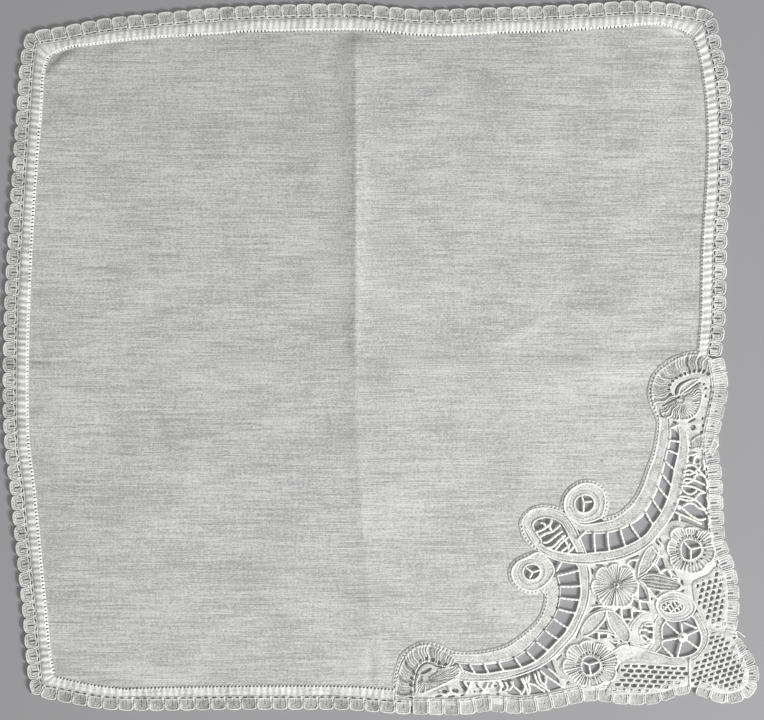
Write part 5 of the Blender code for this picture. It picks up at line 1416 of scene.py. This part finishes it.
GROUND_BARS = [
    [(80.4, -94), (84, -93.6), (88.6, -93.7), (91.5, -93.7), (94.5, -93.7), (96.8, -95.1),
    (99, -95.4), (100.6, -95.8)], [(96.3, -90.4), (98.6, -91.6), (101.8, -92.1), (102.4, -92.8)],
    [(97.9, -91.5), (98.2, -93.2), (98.6, -95.3)], [(98.2, -83.9), (100, -85.3), (101.4, -87.5),
    (101.9, -90.2), (102, -92.4)], [(101.6, -88.2), (103.6, -89.8), (105.4, -91.2)],
    [(91.5, -93.7), (91.1, -96), (92, -99.4)], [(92.4, -98.8), (94, -98.6), (95.4, -98.8)],
    [(95.2, -94.9), (95.2, -96.9), (95.6, -98.8)], [(81.2, -103.4), (84, -103.8), (86.2, -104),
    (88.6, -104.8), (89.6, -105.5)], [(86.1, -104), (86.1, -106)], [(84, -106.2), (86.4, -106.2),
    (88.6, -107.5), (90.4, -107.3)], [(94.2, -108.4), (91.6, -108.8), (89.5, -110)],
    [(82.6, -103.8), (82.7, -106.6)], [(102.4, -70.6), (105.1, -73.7), (107.4, -74.6)],
    [(105.7, -74.6), (105.1, -76.3), (104.3, -77.8)], [(102.4, -77), (104.3, -78.3), (106, -80.9),
    (106.6, -81.5)], [(106.3, -80.6), (108.3, -79.6), (110, -80.4)], [(108.8, -79.7),
    (110.1, -81.8), (110.3, -83.2)], [(110.3, -83.1), (112, -83), (114, -83.7)], [(93.4, -77.9),
    (94.8, -76.3), (98, -76)], [(104.8, -68.2), (106.2, -70), (106.8, -71.4)], [(68, -117),
    (70.8, -119.8), (73.4, -122)]]


def rounded(points, steps=3):
    """Gap outline with its corners eased."""
    p = np.array(points, dtype=float)
    out = []
    for i in range(len(p)):
        before, here, after = p[i - 1], p[i], p[(i + 1) % len(p)]
        for t in np.linspace(0.1, 0.9, steps):
            start = here + (before - here) * 0.16
            end = here + (after - here) * 0.16
            out.append((1 - t) ** 2 * start + 2 * t * (1 - t) * here + t ** 2 * end)
    return np.array(out)


eyes = [oval(117.7, -72.2, 11.6, 11.4, 0, 20), oval(110.7, -94, 8.4, 4.4, 0, 16),
        oval(101, -103.4, 4.6, 6.6, 0, 16), oval(79.6, -116.3, 10.8, 10.6, 0, 20),
        oval(89.4, -85.7, 6.4, 6.4, 0, 20)]
ground = new_work()
add_plate(ground, smooth(GROUND_OUT, 3, True), [rounded(g) for g in GROUND_GAPS] + eyes, 0.36,
          0.3, 0.12, 0.66)
add_plaits(ground, GROUND_BARS, 0.36, 0.68, step=0.35)
make_piece("ground_bars", ground, ground_skin, "bar_ground")

# Wavy plaits that fill the two narrow wedges between the scrolls and the border. They cross and
# touch, and a closer ground with small holes takes over at the wedges' ends.
FILL_RIGHT = [
    [(116, -39.9), (117.8, -40), (119.3, -40.5), (120.6, -41.9), (122.2, -43.7), (123.2, -44.5)],
    [(118.6, -39.9), (118.9, -38.4), (119.3, -37), (120.1, -36.3)], [(116.8, -36.3),
    (118.6, -36.2), (119.9, -35.6)], [(114.7, -42.6), (117, -42), (118.6, -42.7), (119.9, -43.1),
    (120.4, -43.7)], [(114.7, -43.3), (117, -43.7), (119.1, -42.8), (120.6, -41.4),
    (121.7, -40.3)], [(118.6, -45), (120.4, -43.5), (122.2, -44), (123.4, -45)], [(114.5, -46.4),
    (115.7, -45.3), (118.1, -45.5), (120.9, -46.6), (123.2, -47.8)], [(114.5, -46.4),
    (116.5, -46.9), (118.3, -45.9), (119.6, -44.5)], [(113.9, -47.9), (116, -47.9), (119.1, -48.6),
    (121.4, -49.7), (123.4, -50.8)], [(113.9, -48.6), (115.5, -50.4), (117.5, -51.2),
    (119.3, -50.4), (120.1, -49.3)], [(119.9, -52.2), (121.1, -50.9), (122.9, -50.7)],
    [(113.2, -52), (115.5, -52), (118.6, -53), (120.6, -54.3), (122.3, -56.2), (123.6, -57)],
    [(112.7, -52.5), (116, -53.5), (118.6, -53.3), (120.1, -52.2)], [(114.7, -55.8),
    (116.5, -54.7), (118.6, -54.8), (120.6, -56.3), (122.7, -57.2), (123.8, -58.8)],
    [(111.8, -55.1), (113.4, -56.6), (114.7, -55.9)], [(112, -54.8), (114.5, -56.6), (117, -58.7),
    (119.3, -60.2), (121.4, -60.9), (123.6, -60.4)], [(110.9, -57.5), (113.9, -58.9), (117, -60.2),
    (119.3, -61.3), (122, -62.6)], [(113.2, -59), (113.4, -61.6)], [(122.2, -38), (122.9, -40.4),
    (122.5, -42.2)], [(123.2, -45), (124, -47.4), (123.5, -49.1)], [(123.6, -52), (124.4, -54.6),
    (124, -56.8)], [(124.2, -59), (124.8, -61.4), (124.2, -63)]]
FILL_LOW = [
    [(58.2, -119.2), (59.4, -122.7), (61.6, -124.3), (64.2, -126.2)], [(59.5, -118.4),
    (60.5, -122.1), (62.4, -123.8), (62.8, -125.6)], [(56.4, -120), (55.9, -122.7), (56.5, -125.4),
    (55.9, -127.4)], [(55.2, -120.4), (55.4, -122.7), (58.1, -123.5), (60.5, -125.1),
    (62.4, -126.2)], [(53, -121), (54.6, -124), (54.3, -125.6), (53.2, -127.4)], [(53.8, -120.8),
    (54.8, -123.7), (55.4, -125.4), (55.9, -127.4)], [(50, -122), (49.9, -124), (48.3, -125.9)],
    [(49.2, -122.2), (50.2, -124), (52.7, -126.2), (53.2, -127.4)], [(60.3, -118), (62.4, -119.9),
    (65.1, -121.8), (67.9, -123.7), (69.4, -124.6)], [(62.4, -120.2), (62.7, -122.1),
    (61.9, -124)], [(63.2, -117.2), (65.4, -118.9), (67.6, -121), (69.6, -121.8)], [(47, -122.4),
    (48, -124.3), (47.5, -125.9)], [(44.6, -122.8), (45.6, -124.6), (44.6, -126.6)], [(31.2, -122),
    (32.8, -124.2), (35, -126.6)], [(34, -122.6), (33.4, -125), (32, -127.2)], [(36.4, -122.6),
    (38.4, -125), (41, -126.4)], [(40.6, -122.6), (40, -124.6), (38, -127)], [(42.6, -122.8),
    (41.6, -125)], [(25.6, -124.6), (27, -126.6), (30, -127.2)], [(22, -126.6), (24.4, -127.4),
    (26.2, -126.2)]]
RIGHT_GAPS = [
    (117.8, -37.8, 2, 2.3, 0), (120.2, -38.5, 1.9, 2, 0), (119.4, -35.5, 1.3, 0.9, 0),
    (118.6, -25.8, 2.2, 2.2, 0), (118.2, -23.2, 3.4, 1, 28), (122.4, -25.2, 1.2, 1.2, 0),
    (121.8, -27.6, 1.3, 1.1, 0), (117.3, -33.4, 0.8, 0.6, 0), (117.9, -32, 0.8, 0.6, 20),
    (122.4, -36, 0.9, 0.7, 0), (111.6, -23.9, 1.7, 0.9, -30), (122.2, -22.4, 0.8, 1.2, 0)]
LOW_GAPS = [
    (46.3, -125.4, 1.3, 1.2, 0), (43.5, -124, 1.3, 0.9, -20), (36.6, -124.1, 1.6, 0.8, -45),
    (38.6, -125.6, 1.6, 0.8, 35), (35.3, -126.2, 1.4, 0.8, 0), (31.3, -124.2, 1.8, 5, 34),
    (28.2, -125.8, 2.8, 1.6, -12), (24.3, -126.2, 2.3, 1.4, -20), (22, -127.9, 3, 1, 12),
    (26.8, -128.1, 3, 0.8, 8), (44.4, -127.1, 1.4, 0.9, 0), (31, -127.6, 1.7, 0.7, 15),
    (40.8, -124.2, 0.9, 0.7, 0), (33.2, -123.4, 0.7, 0.7, 0)]
FILL_RIGHT_OUT = [
    (115.2, -40.4), (114.8, -34), (113.4, -28.6), (109.6, -25.2), (109.8, -22), (114, -20.8),
    (119, -20), (123.4, -19), (126, -21), (125, -28), (124.4, -34), (124.4, -39.6), (122, -40.8),
    (119, -40.4)]
FILL_LOW_OUT = [
    (29, -120.4), (34, -121.8), (40, -122.1), (44.6, -121.6), (46.8, -123.6), (48.4, -127),
    (54, -127.6), (62, -126.6), (69, -124.6), (72.6, -122.4), (78, -124.6), (73, -128.4),
    (62, -130.6), (50, -131.4), (40, -131), (30, -131.6), (20, -131.8), (10, -131.8), (8, -129),
    (14, -128.6), (20, -126.2), (26, -123.4)]
SIDE_PATCH = (
    [(118.2, -34.6), (120, -34), (122.4, -34.4), (124.6, -35.4), (126, -36.6)], [(118, -30.8),
    (120.4, -28.9), (123.4, -28.2), (126.4, -29.6), (128.4, -32.6)])
for name, outline, gaps, bars, node in (
        ("plaits_right", FILL_RIGHT_OUT, RIGHT_GAPS, FILL_RIGHT, "filling_right"),
        ("plaits_low", FILL_LOW_OUT, LOW_GAPS, FILL_LOW, "filling_low")):
    fill = new_work()
    add_plate(fill, smooth(outline, 3, True), [oval(*g) for g in gaps], 0.3, 0.22, 0.08,
              0.64)
    add_plaits(fill, bars, 0.48, 0.66, 0.1, 0.35)
    if node == "filling_right":
        add_fan(fill, SIDE_PATCH[0], SIDE_PATCH[1], 11, 77, rows=12)
    make_piece(name, fill, ground_skin, node)

# Nets of short plaited bars with staggered openings. Each of the three has a pitch and slant of
# its own, and its threads pull the openings out of round.
NET_RIGHT = [
    (118.4, -85), (121, -83.2), (124.6, -81.6), (127.2, -78.8), (130.6, -81), (131.6, -86),
    (131.8, -92), (131.6, -98), (131.2, -102), (127.6, -102.6), (124, -101.6), (121.6, -97.4),
    (119.4, -94), (118.6, -89)]
NET_LOW = [
    (85.6, -127), (87.6, -122.4), (90, -118.6), (91.4, -115), (96.4, -114.4), (101, -114.6),
    (106, -115.4), (112, -115.8), (117, -114.8), (117.3, -119.4), (117, -123.4), (112, -124.8),
    (107, -126.4), (100, -127.2), (92, -127.2)]
NET_CORNER = [
    (117.2, -115.4), (120.4, -113), (123.4, -109.4), (124.6, -105), (129, -103.4), (133.4, -105.4),
    (136.2, -110.8), (138.6, -115.4), (139.8, -119.6), (139, -123.4), (136, -126), (131, -127),
    (126, -126), (121.4, -124.6), (117.3, -123.8)]
NET_RULES = [
    ("mesh_right", NET_RIGHT, "net_right", 2.35, 2.15, 78.0, 1.6, 1.8, 0.45, 0.92, 91),
    ("mesh_low", NET_LOW, "net_low", 3.0, 1.85, -3.0, 2.45, 1.3, 0.45, 1.1, 92),
    ("mesh_corner", NET_CORNER, "net_corner", 2.6, 1.9, 17.0, 2.05, 1.3, 0.5, 1.1, 93)]


def uneven_oval(x, y, long, wide, bearing, random):
    """Gap pulled out of round by its threads."""
    turn = np.linspace(0.0, TURN, 13)[:-1]
    pull = 1.0 + random.uniform(0.04, 0.13) * np.sin(3.0 * turn + random.uniform(0.0, 6.28))
    u, v = 0.5 * long * pull * np.cos(turn), 0.5 * wide * pull * np.sin(turn)
    return np.column_stack(turned(x, y, u + 0.35 * v, v, bearing))


for name, outline, node, pitch, spacing, bearing, long, wide, margin, most, seed in NET_RULES:
    random = np.random.default_rng(seed)
    line = smooth(outline, 4, True)
    middle = line.mean(axis=0)
    gaps, knots = [], []
    for row in range(-14, 15):
        for col in range(-14, 15):
            u = (col + 0.5 * (row % 2)) * pitch + random.uniform(-0.14, 0.14)
            v = row * spacing + random.uniform(-0.1, 0.1)
            x, y = turned(*middle, u, v, bearing)
            far = np.hypot(line[:, 0] - x, line[:, 1] - y).min()
            if inside(line, x, y) and far > margin + 0.5 * wide:
                size = min(random.uniform(0.75, 1.1), most)
                gaps.append(uneven_oval(x, y, long * size, wide * size,
                                        20.0 if bearing > 45.0 else bearing - 8.0, random))
                knots.append((u + 0.5 * pitch, v))
    net = new_work()
    add_plate(net, line, gaps, 0.43 + 0.0004 * seed, 0.56, 0.2, 0.6)
    for u, v in knots:
        x, y = turned(*middle, u, v, bearing)
        if inside(line, x, y):
            side = math.radians(bearing + 90.0)
            half = 0.42 * spacing
            add_cord(net, [(x - half * math.cos(side), y - half * math.sin(side)), (x, y),
                           (x + half * math.cos(side), y + half * math.sin(side))],
                     0.34, [0.55, 0.8, 0.55], step=0.4, sides=6)
    if node == "net_right":
        add_fan(net, [(122.8, -98.4), (123.8, -101.6), (124.4, -105)],
                [(134, -100.6), (135, -103), (135.6, -105.6)], 5, 94, rows=22)
    if node == "net_corner":
        add_cord(net, smooth([(117.4, -113.6), (117.2, -117), (117.3, -121), (117.5, -125.4)]),
                 0.42, 0.72, knots=0.14, step=0.3)
    make_piece(name, net, ground_skin, node)
